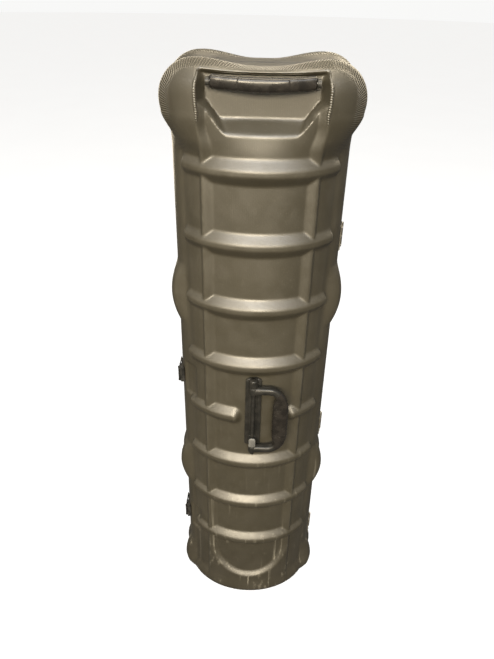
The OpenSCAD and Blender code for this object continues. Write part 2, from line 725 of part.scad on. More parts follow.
module carry_lug(z) {
    translate([-8, -carry_y, z]) cube([16, carry_y - plate_back, lug_h]);
    translate([0, -carry_y, z]) cylinder(r = 8, h = lug_h);
}
module carry_plate() {
    color(black) difference() {
        union() {
            translate([-plate_half_w, -plate_back - plate_t, plate_low])
                cube([2 * plate_half_w, plate_t, plate_high - plate_low]);
            carry_lug(plate_high - lug_h);
            carry_lug(lower_lug_z);
        }
        translate([0, -carry_y, plate_low - 10]) cylinder(r = rod_r + eps, h = 220);
        for (z = carry_screw_z) translate([0, -plate_back + 1, z]) rotate([90, 0, 0])
            cylinder(r = carry_screw_r + 0.1, h = plate_t + 2);
    }
}
eye_low = carry_z - carry_span / 2;
lower_lug_z = eye_low + eye_h / 2 + 1;
carry_screw_z = [590, 665];
carry_screw_r = 2;
module carry_screws() {
    color(steel) for (z = carry_screw_z) translate([0, -plate_back - plate_t, z]) rotate([-90, 0, 0]) {
        cylinder(r = carry_screw_r, h = plate_t + 3);
        translate([0, 0, -1.6]) cylinder(r = 2 * carry_screw_r, h = 1.6);
    }
}
module carry_rod() {
    color(black) {
        translate([0, -carry_y, rod_low]) cylinder(r = rod_r, h = plate_high - 2 - rod_low);
        translate([0, -carry_y, rod_low]) sphere(r = rod_end_r);
    }
}
module carry_tab() {
    color("gray") translate([-7, -carry_y - 10, lower_lug_z]) cube([14, 2, lug_h]);
}
module carry_bail() {
    color(black) difference() {
        union() {
            for (s = [-1, 1]) {
                z = carry_z + s * carry_span / 2;
                translate([0, -carry_y, z]) cylinder(r = eye_r, h = eye_h, center = true);
                translate([rod_r, -carry_y, z]) rotate([0, 90, 0])
                    cylinder(r = arm_r, h = carry_reach - bend_r - rod_r);
                translate([carry_reach - bend_r, -carry_y, z - s * bend_r]) rotate([90, 0, 0])
                    rotate([0, 0, s > 0 ? 0 : -90]) rotate_extrude(angle = 90)
                        translate([bend_r, 0]) circle(r = arm_r);
            }
            translate([carry_reach, -carry_y, carry_z - carry_span / 2 + bend_r])
                cylinder(r = arm_r, h = carry_span - 2 * bend_r);
        }
        translate([0, -carry_y, carry_z]) cylinder(r = rod_r + hinge_run, h = carry_span + 40, center = true);
    }
}
module carry_grip() {
    h = carry_span - 2 * bend_r - 1;
    color(black) translate([carry_reach, -carry_y, carry_z - h / 2]) linear_extrude(h) difference() {
        union() {
            for (s = [-1, 1]) translate([s * (grip_w - grip_t) / 2, 0]) circle(r = grip_t / 2);
            translate([-(grip_w - grip_t) / 2, -grip_t / 2 + 0.3]) square([grip_w - grip_t, grip_t - 0.6]);
        }
        circle(r = arm_r + 2 * eps);
    }
}

back_shell();
rim_tongue();
hinge_leaves_back();
hinge_pins();
hinge_rivets_back();
latch_keepers();
keeper_rivets();
wheel_housing_left();
wheel_housing_right();
housing_screws();
axle_left();
axle_right();
wheel_hub_left();
wheel_hub_right();
wheel_tyre_left();
wheel_tyre_right();
head_pad_back();
base_pad_back();
straps_left();
straps_right();
buckle_sockets();
buckle_plugs();
strap_anchors();
front_shell();
hinge_leaves_front();
hinge_rivets_front();
head_pad_front();
base_pad_front();
latch_base_upper();
latch_base_lower();
latch_pins();
base_rivets();
latch_lever_upper();
latch_lever_lower();
latch_loop_upper();
latch_loop_lower();
pull_brackets();
pull_screws();
pull_pins();
pull_frame();
pull_grip();
carry_plate();
carry_screws();
carry_rod();
carry_tab();
carry_bail();
carry_grip();
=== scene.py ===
import json
import math

import bmesh
import bpy
import numpy as np
from mathutils import Matrix, Vector

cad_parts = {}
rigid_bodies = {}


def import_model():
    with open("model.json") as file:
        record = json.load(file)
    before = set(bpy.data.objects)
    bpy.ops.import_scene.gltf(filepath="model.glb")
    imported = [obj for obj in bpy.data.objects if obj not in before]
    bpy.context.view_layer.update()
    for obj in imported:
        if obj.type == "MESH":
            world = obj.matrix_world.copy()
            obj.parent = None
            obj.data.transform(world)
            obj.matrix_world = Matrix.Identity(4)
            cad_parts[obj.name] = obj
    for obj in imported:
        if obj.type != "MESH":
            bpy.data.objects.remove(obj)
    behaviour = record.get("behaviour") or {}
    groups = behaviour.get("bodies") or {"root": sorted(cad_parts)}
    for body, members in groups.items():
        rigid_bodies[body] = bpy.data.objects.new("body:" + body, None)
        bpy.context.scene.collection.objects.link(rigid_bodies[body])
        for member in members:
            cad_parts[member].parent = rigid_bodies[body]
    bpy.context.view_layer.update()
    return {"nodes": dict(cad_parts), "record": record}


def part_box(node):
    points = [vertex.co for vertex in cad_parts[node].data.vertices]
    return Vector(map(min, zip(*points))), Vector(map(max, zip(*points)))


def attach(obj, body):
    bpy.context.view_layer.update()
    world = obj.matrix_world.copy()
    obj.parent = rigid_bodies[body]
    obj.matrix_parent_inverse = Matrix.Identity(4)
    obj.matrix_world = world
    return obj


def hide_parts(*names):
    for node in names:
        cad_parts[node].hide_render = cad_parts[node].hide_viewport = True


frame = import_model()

scene = bpy.context.scene

# ---- Camera ----
CAMERA_PLACE = Vector((-0.00694, -1.06093, 1.41968))
PITCH, ROLL, YAW = math.radians(31.80), math.radians(1.30), math.radians(-0.58)
SENSOR, LENS = 36, 31.1381

cam_data = bpy.data.cameras.new("camera")
cam_data.sensor_width = SENSOR
cam_data.lens = LENS
camera = bpy.data.objects.new("camera", cam_data)
scene.collection.objects.link(camera)
scene.camera = camera
FORWARD = Vector((math.sin(YAW) * math.cos(PITCH), math.cos(YAW) * math.cos(PITCH), -math.sin(PITCH)))
level = Vector((math.cos(YAW), -math.sin(YAW), 0))
upright = level.cross(FORWARD)
right = math.cos(ROLL) * level + math.sin(ROLL) * upright
up = -math.sin(ROLL) * level + math.cos(ROLL) * upright
camera.matrix_world = Matrix.Translation(CAMERA_PLACE) @ Matrix((right, up, -FORWARD)).transposed().to_4x4()
camera.data.clip_start, camera.data.clip_end = 0.01, 50


# ---- Dimensions of the shells, in metres ----
# Outline where the halves meet, their depth, their wall and the gap between them
SEAM_HALF_W, DEPTH, TOP, WALL, RIM_GAP = 0.161, 0.125, 1.296, 0.0035, 0.0004
# Head lobes: middle of the corner's arc, its radius at the seam and over the roll, run towards the middle
LOBE_X, LOBE_Z, RIM_CORNER_R, LOBE_R, LOBE_RUN = 0.110, 1.242, 0.054, 0.068, 0.100
CORNER_X = LOBE_X + RIM_CORNER_R * math.cos(math.radians(45))
# The roll's section over the distance from the seam, and the flat faces inside the rolls
VALLEY_Y, BEAD_Y, BEAD_FALL, LOBE_FOOT = 0.012, 0.059, 0.077, 0.108
FACE_DEPTH, FACE_R = 0.0030, 0.050
# Ribs, and the gap in the rib behind the carrying handle
RIB_COUNT, RIB_TOP_Z, RIB_PITCH, RIB_FLAT, RIB_SLOPE, RIB_TIP = 8, 1.139, 0.1323, 0.0035, 0.8, (0.139, 0.147)
GAP_LEFT, GAP_RIGHT, GAP_STEEPNESS = -0.0430, 0.0910, 1.3
# Sunken channel, the ridges and sides beside it
CHANNEL_HALF_W, CHANNEL_DEPTH, RIDGE_DROP, SIDE_DROP, ARCH_Z = 0.094, 0.013, 0.003, 0.0085, 0.168
HEAD_WIDENING, SEAM_ROUND = 0.012, 0.0009
# Bumpers: height, middles, half lengths up and down
BUMPER_H, BUMPER_Z = 0.017, (0.869, 0.397, 0.046)
BUMPER_UP, BUMPER_DOWN = (0.070, 0.067, 0.066), (0.070, 0.067, 0.052)
# Rounded top and foot
EDGE_R, EDGE_POWER, CORNER_SINK, LEAN_H, SQUARENESS = 0.045, 4, 0.010, 0.125, 0.36
FOOT_R, FOOT_FULL, FOOT_INSET, END_H = 0.020, 0.86, 0.014, 0.060
# Recesses for the wheels and for the hand
WHEEL_X, HOUSING_W, HOUSING_H, RECESS_Y = 0.100, 0.046, 0.076, 0.069
POCKET_Y, POCKET_HALF_W, POCKET_WALL = 0.077, 0.099, 0.009
FRONT, BACK = -1, 1
LATCH_Z = (0.661, 0.215)


# ---- Node helpers ----
class Nodes:
    """Makes and links shader nodes in one material."""

    def __init__(self, name):
        self.material = bpy.data.materials.new(name)
        self.material.use_nodes = True
        self.tree = self.material.node_tree
        self.tree.nodes.clear()
        self.out = self.add("ShaderNodeOutputMaterial")
        self.place = self.add("ShaderNodeTexCoord").outputs["Object"]

    def add(self, kind, inputs=None, **settings):
        made = self.tree.nodes.new(kind)
        for key, value in settings.items():
            setattr(made, key, value)
        for key, value in (inputs or {}).items():
            self.put(made.inputs[key], value)
        return made

    def put(self, socket, value):
        if isinstance(value, bpy.types.NodeSocket):
            self.tree.links.new(value, socket)
        else:
            socket.default_value = value

    def scaled(self, scale, offset=(0, 0, 0)):
        inputs = {"Vector": self.place, "Scale": scale, "Location": offset}
        return self.add("ShaderNodeMapping", inputs).outputs[0]

    def noise(self, scale, detail=2.0, at=None, rough=0.5):
        return self.add("ShaderNodeTexNoise", {"Vector": at or self.place, "Scale": scale, "Detail": detail,
                                               "Roughness": rough}).outputs["Fac"]

    def math(self, operation, a, b=0.0, c=0.0):
        made = self.add("ShaderNodeMath", operation=operation)
        for i, value in enumerate((a, b, c)):
            self.put(made.inputs[i], value)
        return made.outputs[0]

    def wave(self, value, pitch):
        return self.math("SINE", self.math("MULTIPLY", value, 2 * math.pi / pitch))

    def ramp(self, value, low, high, to_low=0.0, to_high=1.0):
        return self.add("ShaderNodeMapRange", {"Value": value, "From Min": low, "From Max": high,
                                               "To Min": to_low, "To Max": to_high},
                        interpolation_type="SMOOTHSTEP").outputs[0]

    def mix(self, share, a, b):
        made = self.add("ShaderNodeMix", data_type="RGBA")
        self.put(made.inputs[0], share)
        self.put(made.inputs[6], a)
        self.put(made.inputs[7], b)
        return made.outputs[2]

    def bump(self, height, distance, strength=1.0, normal=None):
        inputs = {"Height": height, "Distance": distance, "Strength": strength}
        if normal is not None:
            inputs["Normal"] = normal
        return self.add("ShaderNodeBump", inputs).outputs[0]

    def finish(self, **inputs):
        shader = self.add("ShaderNodeBsdfPrincipled")
        for key, value in inputs.items():
            self.put(shader.inputs[key.replace("_", " ")], value)
        self.tree.links.new(shader.outputs[0], self.out.inputs["Surface"])
        return self.material


def rgb(*values):
    return (*values, 1.0)


def place_of(n):
    return n.add("ShaderNodeSeparateXYZ", {"Vector": n.place}).outputs


HATCH_PITCH, HATCH_SLANT, GRAIN_PITCH = 0.0046, 0.4, 0.0037
DARK_OLIVE, OLIVE, DUST = rgb(0.027, 0.0235, 0.0145), rgb(0.032, 0.028, 0.018), rgb(0.085, 0.076, 0.056)
# Next line: a colour for darkening towards the bottom, a scuff colour, and the painted highlight colour laid
# on the rope hatch.
LOW_TONE, SCUFFED, HATCH_HIGHLIGHT = rgb(0.020, 0.017, 0.011), rgb(0.24, 0.225, 0.185), rgb(0.150, 0.134, 0.100)
# Colour of the painted shade in the head's groove and along the seam on the top.
SEAM_SHADE_COLOUR = rgb(0.006, 0.005, 0.004)


def rope_hatch(n, x, y, z):
    """Fine slanting ridges on the rolls along the head's rims, from 0 to 1."""
    far = n.math("ABSOLUTE", x)
    out = n.math("SUBTRACT", far, LOBE_X)
    round_lobe = n.math("MULTIPLY", n.math("ARCTAN2", n.math("SUBTRACT", z, LOBE_Z), out), LOBE_R)
    on_flat = n.math("LESS_THAN", out, 0.0)
    along = n.math("ADD", n.math("MULTIPLY", on_flat, x),
                   n.math("MULTIPLY", n.math("SUBTRACT", 1.0, on_flat), round_lobe))
    off = n.math("ABSOLUTE", y)
    skewed = n.math("ADD", along, n.math("MULTIPLY", off, HATCH_SLANT))
    wave = n.math("MULTIPLY_ADD", n.wave(skewed, HATCH_PITCH), 0.5, 0.5)
    inside = n.math("MULTIPLY", n.ramp(off, 0.042, 0.048), n.ramp(off, 0.076, 0.084, 1.0, 0.0))
    # Stronger towards the top of the head; in the colour this makes the painted highlight brightest there.
    high = n.ramp(z, 1.190, 1.275, 0.10, 1.0)
    on_rolls = n.math("MAXIMUM", n.ramp(far, 0.118, 0.130), n.ramp(z, TOP - 0.0065, TOP - 0.0025))
    return n.math("MULTIPLY", n.math("MULTIPLY", wave, on_rolls), n.math("MULTIPLY", inside, high))


def shell_material(name, inside=False):
    """Speckled olive plastic with streaks, hairlines and scuffs that gather near the foot, a painted
    highlight on the head's rope hatch and painted shade in the head's groove and along the seam.
    """
    n = Nodes(name)
    x, y, z = place_of(n)
    clean = n.mix(n.ramp(n.noise(7.0, 3.0), 0.35, 0.65), DARK_OLIVE, OLIVE)
    speckled = n.mix(n.ramp(n.noise(420.0, 1.0), 0.62, 0.80, 0.0, 0.35), clean, DUST)
    # Darker towards the bottom.
    speckled = n.mix(n.ramp(z, 0.06, 0.30, 0.35, 0.0), speckled, LOW_TONE)
    low = n.ramp(z, 0.10, 0.62, 1.0, 0.0)
    streaks = n.noise(1.0, 3.0, n.scaled((110.0, 110.0, 2.6)), 0.6)
    streak = n.math("MULTIPLY", n.ramp(streaks, 0.60, 0.74), n.math("MULTIPLY_ADD", low, 0.85, 0.04))
    wander = n.noise(9.0, 1.0, n.scaled((1.0, 1.0, 0.30), (0.7, 0.2, 0.1)), 0.3)
    hair = n.ramp(n.math("ABSOLUTE", n.math("SUBTRACT", wander, 0.5)), 0.0, 0.0030, 1.0, 0.0)
    patchy = n.ramp(n.noise(6.0, 1.0, n.scaled((1, 1, 1), (3.0, 1.0, 2.0))), 0.56, 0.64)
    hairline = n.math("MULTIPLY", n.math("MULTIPLY", hair, patchy), n.math("MULTIPLY", low, 0.4))
    scuffs = n.ramp(n.noise(46.0, 4.0, n.scaled((1.0, 1.0, 0.5)), 0.7), 0.60, 0.72)
    scuffed = n.math("MULTIPLY", scuffs, n.math("MULTIPLY_ADD", n.ramp(z, 0.05, 0.28, 1.0, 0.0), 0.5, 0.06))
    worn = n.math("MULTIPLY", n.ramp(n.add("ShaderNodeNewGeometry").outputs["Pointiness"], 0.51, 0.58),
                  n.ramp(n.noise(55.0, 3.0), 0.35, 0.7, 0.05, 0.45))
    marks = n.math("ADD", n.math("ADD", streak, hairline), n.math("ADD", worn, scuffed))
    marks = n.math("MINIMUM", marks, 0.8)
    colour = n.mix(n.math("MULTIPLY", marks, 0.6), speckled, SCUFFED)
    rough = n.math("ADD", n.ramp(n.noise(30.0, 3.0), 0.3, 0.7, 0.42, 0.50), n.math("MULTIPLY", marks, 0.1))
    ribbing = n.wave(x, GRAIN_PITCH)
    grain = n.math("ADD", n.noise(900.0, 2.0), n.math("MULTIPLY", ribbing, 0.08))
    fine = n.bump(grain, 0.0004, 0.5)
    if inside:
        return n.finish(Base_Color=clean, Roughness=0.6, Normal=fine)
    hatch = rope_hatch(n, x, y, z)
    # Painted highlight: the hatch's ridges are real (bumped below), but the lighter colour laid on them
    # stands in for the highlight they catch.
    colour = n.mix(n.math("MULTIPLY", hatch, 0.40), colour, HATCH_HIGHLIGHT)
    off = n.math("ABSOLUTE", y)
    far = n.math("ABSOLUTE", x)
    # Painted shade: the band just behind the front roll's crest stands in for the shadow in the groove
    # between the rolls, and the thin band at the seam on the top stands in for the shade in the gap between
    # the halves.
    groove = n.math("MULTIPLY", n.ramp(off, 0.026, 0.044, 0.75, 0.0), n.ramp(far, 0.050, 0.085))
    joint = n.math("MULTIPLY", n.ramp(off, 0.0075, 0.0110, 0.95, 0.0), n.ramp(far, 0.080, 0.092, 1.0, 0.0))
    painted_shade = n.math("MULTIPLY", n.math("MAXIMUM", groove, joint), n.ramp(z, 1.180, 1.240))
    colour = n.mix(painted_shade, colour, SEAM_SHADE_COLOUR)
    hatched = n.bump(hatch, 0.0018, 1.0, fine)
    normal = n.bump(marks, 0.0002, 0.6, hatched)
    return n.finish(Base_Color=colour, Roughness=rough, Normal=normal, Specular_IOR_Level=1.0)


def plastic_material(name, dark, light, rough, grain=0.25, gloss=0.5):
    """Moulded plastic with worn edges, dust and fine scratches. rough is the middle roughness."""
    n = Nodes(name)
    edge = n.add("ShaderNodeNewGeometry").outputs["Pointiness"]
    base = n.mix(n.ramp(n.noise(60.0, 3.0), 0.35, 0.7), rgb(*dark), rgb(*light))
    worn = n.math("MULTIPLY", n.ramp(edge, 0.52, 0.62), n.ramp(n.noise(90.0, 3.0), 0.4, 0.7, 0.0, 0.5))
    dust = n.ramp(n.noise(480.0, 1.0), 0.70, 0.80, 0.0, 0.25)
    wander = n.noise(35.0, 2.0)
    hair = n.ramp(n.math("ABSOLUTE", n.math("SUBTRACT", wander, 0.5)), 0.0, 0.004, 0.35, 0.0)
    scratches = n.math("MULTIPLY", hair, n.ramp(n.noise(12.0), 0.5, 0.6))
    marks = n.math("MAXIMUM", n.math("MAXIMUM", worn, dust), scratches)
    colour = n.mix(n.math("MULTIPLY", marks, 0.16), base, rgb(0.30, 0.29, 0.27))
    roughness = n.math("ADD", n.ramp(n.noise(45.0, 3.0), 0.3, 0.7, rough - 0.06, rough + 0.06),
                       n.math("MULTIPLY", marks, 0.25))
    soft = n.add("ShaderNodeBevel", {"Radius": 0.0007}, samples=4).outputs[0]
    normal = n.bump(n.noise(700.0, 2.0), 0.0003, grain, soft)
    return n.finish(Base_Color=colour, Roughness=roughness, Normal=normal, Specular_IOR_Level=gloss)


def metal_material(name, tint, rough):
    """Brushed metal with dull spots."""
    n = Nodes(name)
    brushed = n.noise(1.0, 3.0, n.scaled((900.0, 900.0, 60.0)))
    spots = n.ramp(n.noise(150.0, 3.0), 0.55, 0.75)
    colour = n.mix(spots, rgb(*tint), rgb(*(0.72 * c for c in tint)))
    streaked = n.ramp(brushed, 0.3, 0.7, rough - 0.07, rough + 0.07)
    roughness = n.math("ADD", streaked, n.math("MULTIPLY", spots, 0.12))
    soft = n.add("ShaderNodeBevel", {"Radius": 0.0004}, samples=4).outputs[0]
    return n.finish(Base_Color=colour, Metallic=1.0, Roughness=roughness,
                    Normal=n.bump(brushed, 0.0001, 0.3, soft))


def rubber_material(name):
    """Dusty black rubber."""
    n = Nodes(name)
    dusty = n.ramp(n.noise(40.0, 4.0), 0.45, 0.75, 0.0, 0.5)
    colour = n.mix(dusty, rgb(0.018, 0.018, 0.019), rgb(0.085, 0.08, 0.072))
    rough = n.ramp(n.noise(120.0, 2.0), 0.3, 0.7, 0.68, 0.85)
    return n.finish(Base_Color=colour, Roughness=rough, Normal=n.bump(n.noise(600.0, 3.0), 0.0004, 0.5))


def woven_material(name, dark, light, pitch):
    """Crossing threads. pitch is the thread spacing in metres."""
    n = Nodes(name)
    x, y, z = place_of(n)
    warp, weft = n.wave(n.math("ADD", x, y), pitch), n.wave(z, pitch)
    weave = n.math("MULTIPLY_ADD", n.math("MULTIPLY", warp, weft), 0.5, 0.5)
    fuzz = n.noise(1500.0, 2.0)
    height = n.math("ADD", weave, n.math("MULTIPLY", fuzz, 0.4))
    colour = n.mix(n.ramp(height, 0.2, 1.2), rgb(*dark), rgb(*light))
    aged = n.mix(n.ramp(n.noise(14.0, 3.0), 0.4, 0.7, 0.0, 0.3), colour, rgb(*(1.5 * c for c in light)))
    return n.finish(Base_Color=aged, Roughness=n.ramp(fuzz, 0.3, 0.7, 0.78, 0.95), Sheen_Weight=0.35,
                    Sheen_Roughness=0.5, Normal=n.bump(height, 0.0005, 0.6))


def foam_material(name):
    """Open-cell foam."""
    n = Nodes(name)
    cells = n.add("ShaderNodeTexVoronoi", {"Vector": n.place, "Scale": 900.0}).outputs["Distance"]
    colour = n.mix(n.ramp(n.noise(20.0, 3.0), 0.35, 0.7), rgb(0.040, 0.040, 0.046), rgb(0.070, 0.070, 0.078))
    # Painted shade: the cells' hollows are made darker than the foam's colour.
    shaded = n.mix(n.ramp(cells, 0.1, 0.6), rgb(0.015, 0.015, 0.018), colour)
    return n.finish(Base_Color=shaded, Roughness=0.95, Sheen_Weight=0.2, Normal=n.bump(cells, 0.0006, 0.7))


SHELL = shell_material("shell_plastic")
SHELL_INSIDE = shell_material("shell_inside", inside=True)
BLACK = plastic_material("black_plastic", (0.009, 0.009, 0.008), (0.018, 0.017, 0.015), 0.42, 0.25, 0.4)
GRIP = plastic_material("grip_plastic", (0.010, 0.009, 0.008), (0.018, 0.016, 0.014), 0.26, 0.12, 0.4)
GREY = plastic_material("grey_plastic", (0.085, 0.085, 0.083), (0.125, 0.125, 0.12), 0.40)
HUB = plastic_material("hub_plastic", (0.035, 0.035, 0.036), (0.06, 0.06, 0.06), 0.45)
STEEL = metal_material("steel", (0.56, 0.56, 0.57), 0.30)
BLACKENED = metal_material("blackened_steel", (0.045, 0.045, 0.046), 0.42)
MATT = plastic_material("matt_plastic", (0.006, 0.006, 0.006), (0.012, 0.012, 0.011), 0.60, 0.25, 0.15)
RUBBER = rubber_material("tyre_rubber")
WEBBING = woven_material("webbing", (0.012, 0.012, 0.012), (0.05, 0.05, 0.05), 0.0016)
LINING = woven_material("pad_cloth", (0.016, 0.016, 0.018), (0.06, 0.06, 0.066), 0.0014)
FOAM = foam_material("foam")
BY_SLOT = {"shell_plastic": SHELL, "black_plastic": BLACK, "grip_plastic": GRIP, "grey_plastic": GREY,
           "steel": STEEL, "tyre": RUBBER, "hub": HUB, "foam": FOAM, "webbing": WEBBING}

# Latch parts that are darker than their slot's material
SPECIAL = {"latch_base_upper": MATT, "latch_base_lower": MATT, "latch_keepers": BLACKENED,
           "latch_pins": BLACKENED, "base_rivets": BLACKENED, "keeper_rivets": BLACKENED}

slot_of = {s["node"]: s["material_slot"] for s in frame["record"]["subparts"]}
for node_name, obj in frame["nodes"].items():
    obj.data.materials.clear()
    obj.data.materials.append(SPECIAL.get(node_name, BY_SLOT[slot_of[node_name]]))


# ---- Mesh helpers ----
def piece(name, points, faces, material, body, nodes=(), slot=None, sharp=35, second=None, facing=True):
    """A new piece from points and faces. second is (material, face test on the face number)."""
    mesh = bpy.data.meshes.new(name)
    mesh.from_pydata([tuple(map(float, p)) for p in points], [], [tuple(map(int, f)) for f in faces])
    mesh.validate()
    if facing:
        work = bmesh.new()
        work.from_mesh(mesh)
        bmesh.ops.recalc_face_normals(work, faces=work.faces)
        work.to_mesh(mesh)
        work.free()
    mesh.materials.append(material)
    if second:
        mesh.materials.append(second[0])
        mesh.polygons.foreach_set("material_index", [int(second[1](i)) for i in range(len(mesh.polygons))])
    mesh.polygons.foreach_set("use_smooth", [True] * len(mesh.polygons))
    mesh.set_sharp_from_angle(angle=math.radians(sharp))
    made = bpy.data.objects.new(name, mesh)
    scene.collection.objects.link(made)
    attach(made, body)
    if nodes:
        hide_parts(*nodes)
    return made


def joined(*parts):
    """One (points, faces) from several."""
    points, faces, start = [], [], 0
    for part_points, part_faces in parts:
        points.extend(part_points)
        faces.extend([tuple(i + start for i in f) for f in part_faces])
        start += len(part_points)
    return points, faces


def rings_to_faces(count, around, closed):
    """Quads between rings of points, with a face on each end of an open row of rings."""
    faces = []
    for j in range(count if closed else count - 1):
        a, b = j * around, ((j + 1) % count) * around
        faces += [(a + i, a + (i + 1) % around, b + (i + 1) % around, b + i) for i in range(around)]
    if not closed:
        faces.append(tuple(range(around - 1, -1, -1)))
        faces.append(tuple(range((count - 1) * around, count * around)))
    return faces


def unit(v):
    return v / np.maximum(np.linalg.norm(v, axis=-1, keepdims=True), 1e-12)


def distance_along(path):
    return np.concatenate([[0], np.cumsum(np.linalg.norm(np.diff(path, axis=0), axis=1))])


def sweep(path, sizes, side, power=2.0, around=24, closed=False, ripple=None):
    """A tube along a path. sizes are half sizes along side and across it. ripple is (height, pitch, skew)."""
    path = np.asarray(path, float)
    if closed:
        tangent = unit(np.roll(path, -1, 0) - np.roll(path, 1, 0))
    else:
        tangent = unit(np.gradient(path, axis=0))
    side = np.broadcast_to(np.asarray(side, float), path.shape)
    side = unit(side - (side * tangent).sum(1)[:, None] * tangent)
    other = np.cross(tangent, side)
    sizes = np.broadcast_to(np.asarray(sizes, float), (len(path), 2))
    angle = np.linspace(0, 2 * math.pi, around, endpoint=False)
    u = np.sign(np.cos(angle)) * np.abs(np.cos(angle)) ** (2 / power)
    v = np.sign(np.sin(angle)) * np.abs(np.sin(angle)) ** (2 / power)
    grow = np.zeros((len(path), around))
    if ripple:
        height, pitch, skew = ripple
        grow = height * np.cos(2 * math.pi * distance_along(path)[:, None] / pitch + skew * angle[None, :])
    points = (path[:, None, :] + side[:, None, :] * ((sizes[:, :1] + grow) * u)[..., None]
              + other[:, None, :] * ((sizes[:, 1:] + grow) * v)[..., None])
    return list(points.reshape(-1, 3)), rings_to_faces(len(path), around, closed)


def lathe(profile, centre, axis, around=40, wave=None, closed=False):
    """A turned solid. profile is (radius, height), closed for a ring. wave adds to the radius."""
    axis = Vector(axis).normalized()
    across = axis.orthogonal().normalized()
    third = axis.cross(across)
    points = []
    for r, h in profile:
        for i in range(around):
            t = 2 * math.pi * i / around
            radius = r + (wave(t, r, h) if wave else 0)
            points.append(Vector(centre) + axis * h + (across * math.cos(t) + third * math.sin(t)) * radius)
    return points, rings_to_faces(len(profile), around, closed)


def edge_steps(low, high, edge, steps):
    """(inset, height) up a side with rounded edges."""
    turn = [math.pi / 2 * i / steps for i in range(steps + 1)]
    lower = [(edge * (1 - math.sin(t)), low + edge * (1 - math.cos(t))) for t in turn]
    upper = [(edge * (1 - math.cos(t)), high - edge * (1 - math.sin(t))) for t in turn]
    return lower + upper


def rounded(radius, low, high, edge, steps=4):
    """Profile of a turned solid with rounded edges."""
    return [(radius - inset, height) for inset, height in edge_steps(low, high, edge, steps)]


def round_outline(corners, radius, steps=5, bow=1.0):
    """A closed line with rounded corners. radius is one number or a list. A smaller bow cuts them flatter."""
    radii = radius if isinstance(radius, (list, tuple)) else [radius] * len(corners)
    out = []
    for i, c in enumerate(corners):
        c = np.asarray(c, float)
        a = unit(np.asarray(corners[i - 1], float) - c)
        b = unit(np.asarray(corners[(i + 1) % len(corners)], float) - c)
        start, end = c + a * radii[i], c + b * radii[i]
        for t in np.linspace(0, 1, steps + 1):
            middle = c * bow + (start + end) * (1 - bow) / 2
            out.append((1 - t) ** 2 * start + 2 * t * (1 - t) * middle + t * t * end)
    return np.array(out)


def rectangle(half_w, low, high):
    return [(-half_w, low), (half_w, low), (half_w, high), (-half_w, high)]


def slab(outline, low, high, edge, place, steps=3):
    """A plate with rounded edges. place turns an array of (u, v, height) rows into points."""
    outline = np.asarray(outline, float)
    ahead, behind = np.roll(outline, -1, 0) - outline, outline - np.roll(outline, 1, 0)
    tangent = unit(unit(ahead + 1e-12) + unit(behind + 1e-12))
    normal = np.stack([tangent[:, 1], -tangent[:, 0]], axis=1)
    area = np.sum(outline[:, 0] * np.roll(outline[:, 1], -1) - np.roll(outline[:, 0], -1) * outline[:, 1])
    normal = normal * (1 if area > 0 else -1)
    levels = edge_steps(low, high, edge, steps)
    points = []
    for inset, height in levels:
        flat = outline - normal * inset
        points.extend(place(np.column_stack([flat, np.full(len(flat), height)])))
    return points, rings_to_faces(len(levels), len(outline), False)


# ---- Shells ----
def ease(a, b, v):
    t = np.clip((v - a) / (b - a), 0, 1)
    return t * t * (3 - 2 * t)


def bell(v, middle, width):
    return np.exp(-((v - middle) / width) ** 2)


def circle_height(radius, offset):
    return np.sqrt(np.maximum(0, radius ** 2 - offset ** 2))


def rim_x(z):
    """Half width of the meeting plane's outline at a height."""
    lobe = LOBE_X + circle_height(RIM_CORNER_R, z - LOBE_Z)
    return np.where(z <= LOBE_Z, np.maximum(SEAM_HALF_W, lobe), lobe)


def rim_top(x):
    """Height of the meeting plane's outline over a place across."""
    d = np.abs(x) - LOBE_X
    return np.maximum(np.where(d > 0, 0, TOP), LOBE_Z + circle_height(RIM_CORNER_R, d))


def bumper(z):
    """How far the three bumpers on a side stand out."""
    shapes = []
    for middle, above, below in zip(BUMPER_Z, BUMPER_UP, BUMPER_DOWN):
        u = (z - middle) / np.where(z > middle, above, below)
        shapes.append(BUMPER_H * np.maximum(0, 1 - u * u))
    return np.max(shapes, axis=0)


def lobe_profile(y):
    """Height of the head lobes over the distance from the meeting plane: a wide groove, a bead and a fall."""
    rise = ease(VALLEY_Y, BEAD_Y, y)
    fall = 0.50 * ease(BEAD_Y + 0.003, BEAD_FALL, y) + 0.50 * ease(BEAD_FALL - 0.004, LOBE_FOOT, y)
    return rise * (1 - fall)


def smooth_min(a, b, blend):
    share = np.clip(0.5 + 0.5 * (b - a) / blend, 0, 1)
    return b * (1 - share) + a * share - blend * share * (1 - share)


def smooth_max(a, b, blend):
    return -smooth_min(-np.asarray(a, float), -b, blend)


def lobe_face(x, z):
    """Depth of the flat faces inside the rolls around the head's rims."""
    r = np.hypot(np.maximum(0, np.abs(x) - LOBE_X), np.maximum(0, z - LOBE_Z))
    return FACE_DEPTH * (1 - ease(FACE_R - 0.004, FACE_R + 0.004, r)) * ease(1.160, 1.215, z)


def swelling(x, z, y):
    """How far bumpers and head lobes stand out from the rim's outline. y is the distance from the seam."""
    side = smooth_max(0, LOBE_X + circle_height(LOBE_R, z - LOBE_Z) - rim_x(z), 0.016)
    top = (LOBE_R - RIM_CORNER_R) * (1 - ease(0, LOBE_RUN, LOBE_X - np.abs(x)))
    low = bumper(z) * ease(0, 0.030, y) * (1 - ease(0.038, 0.054, y)) + side * lobe_profile(y)
    return np.where(z <= LOBE_Z, low, top * lobe_profile(y))


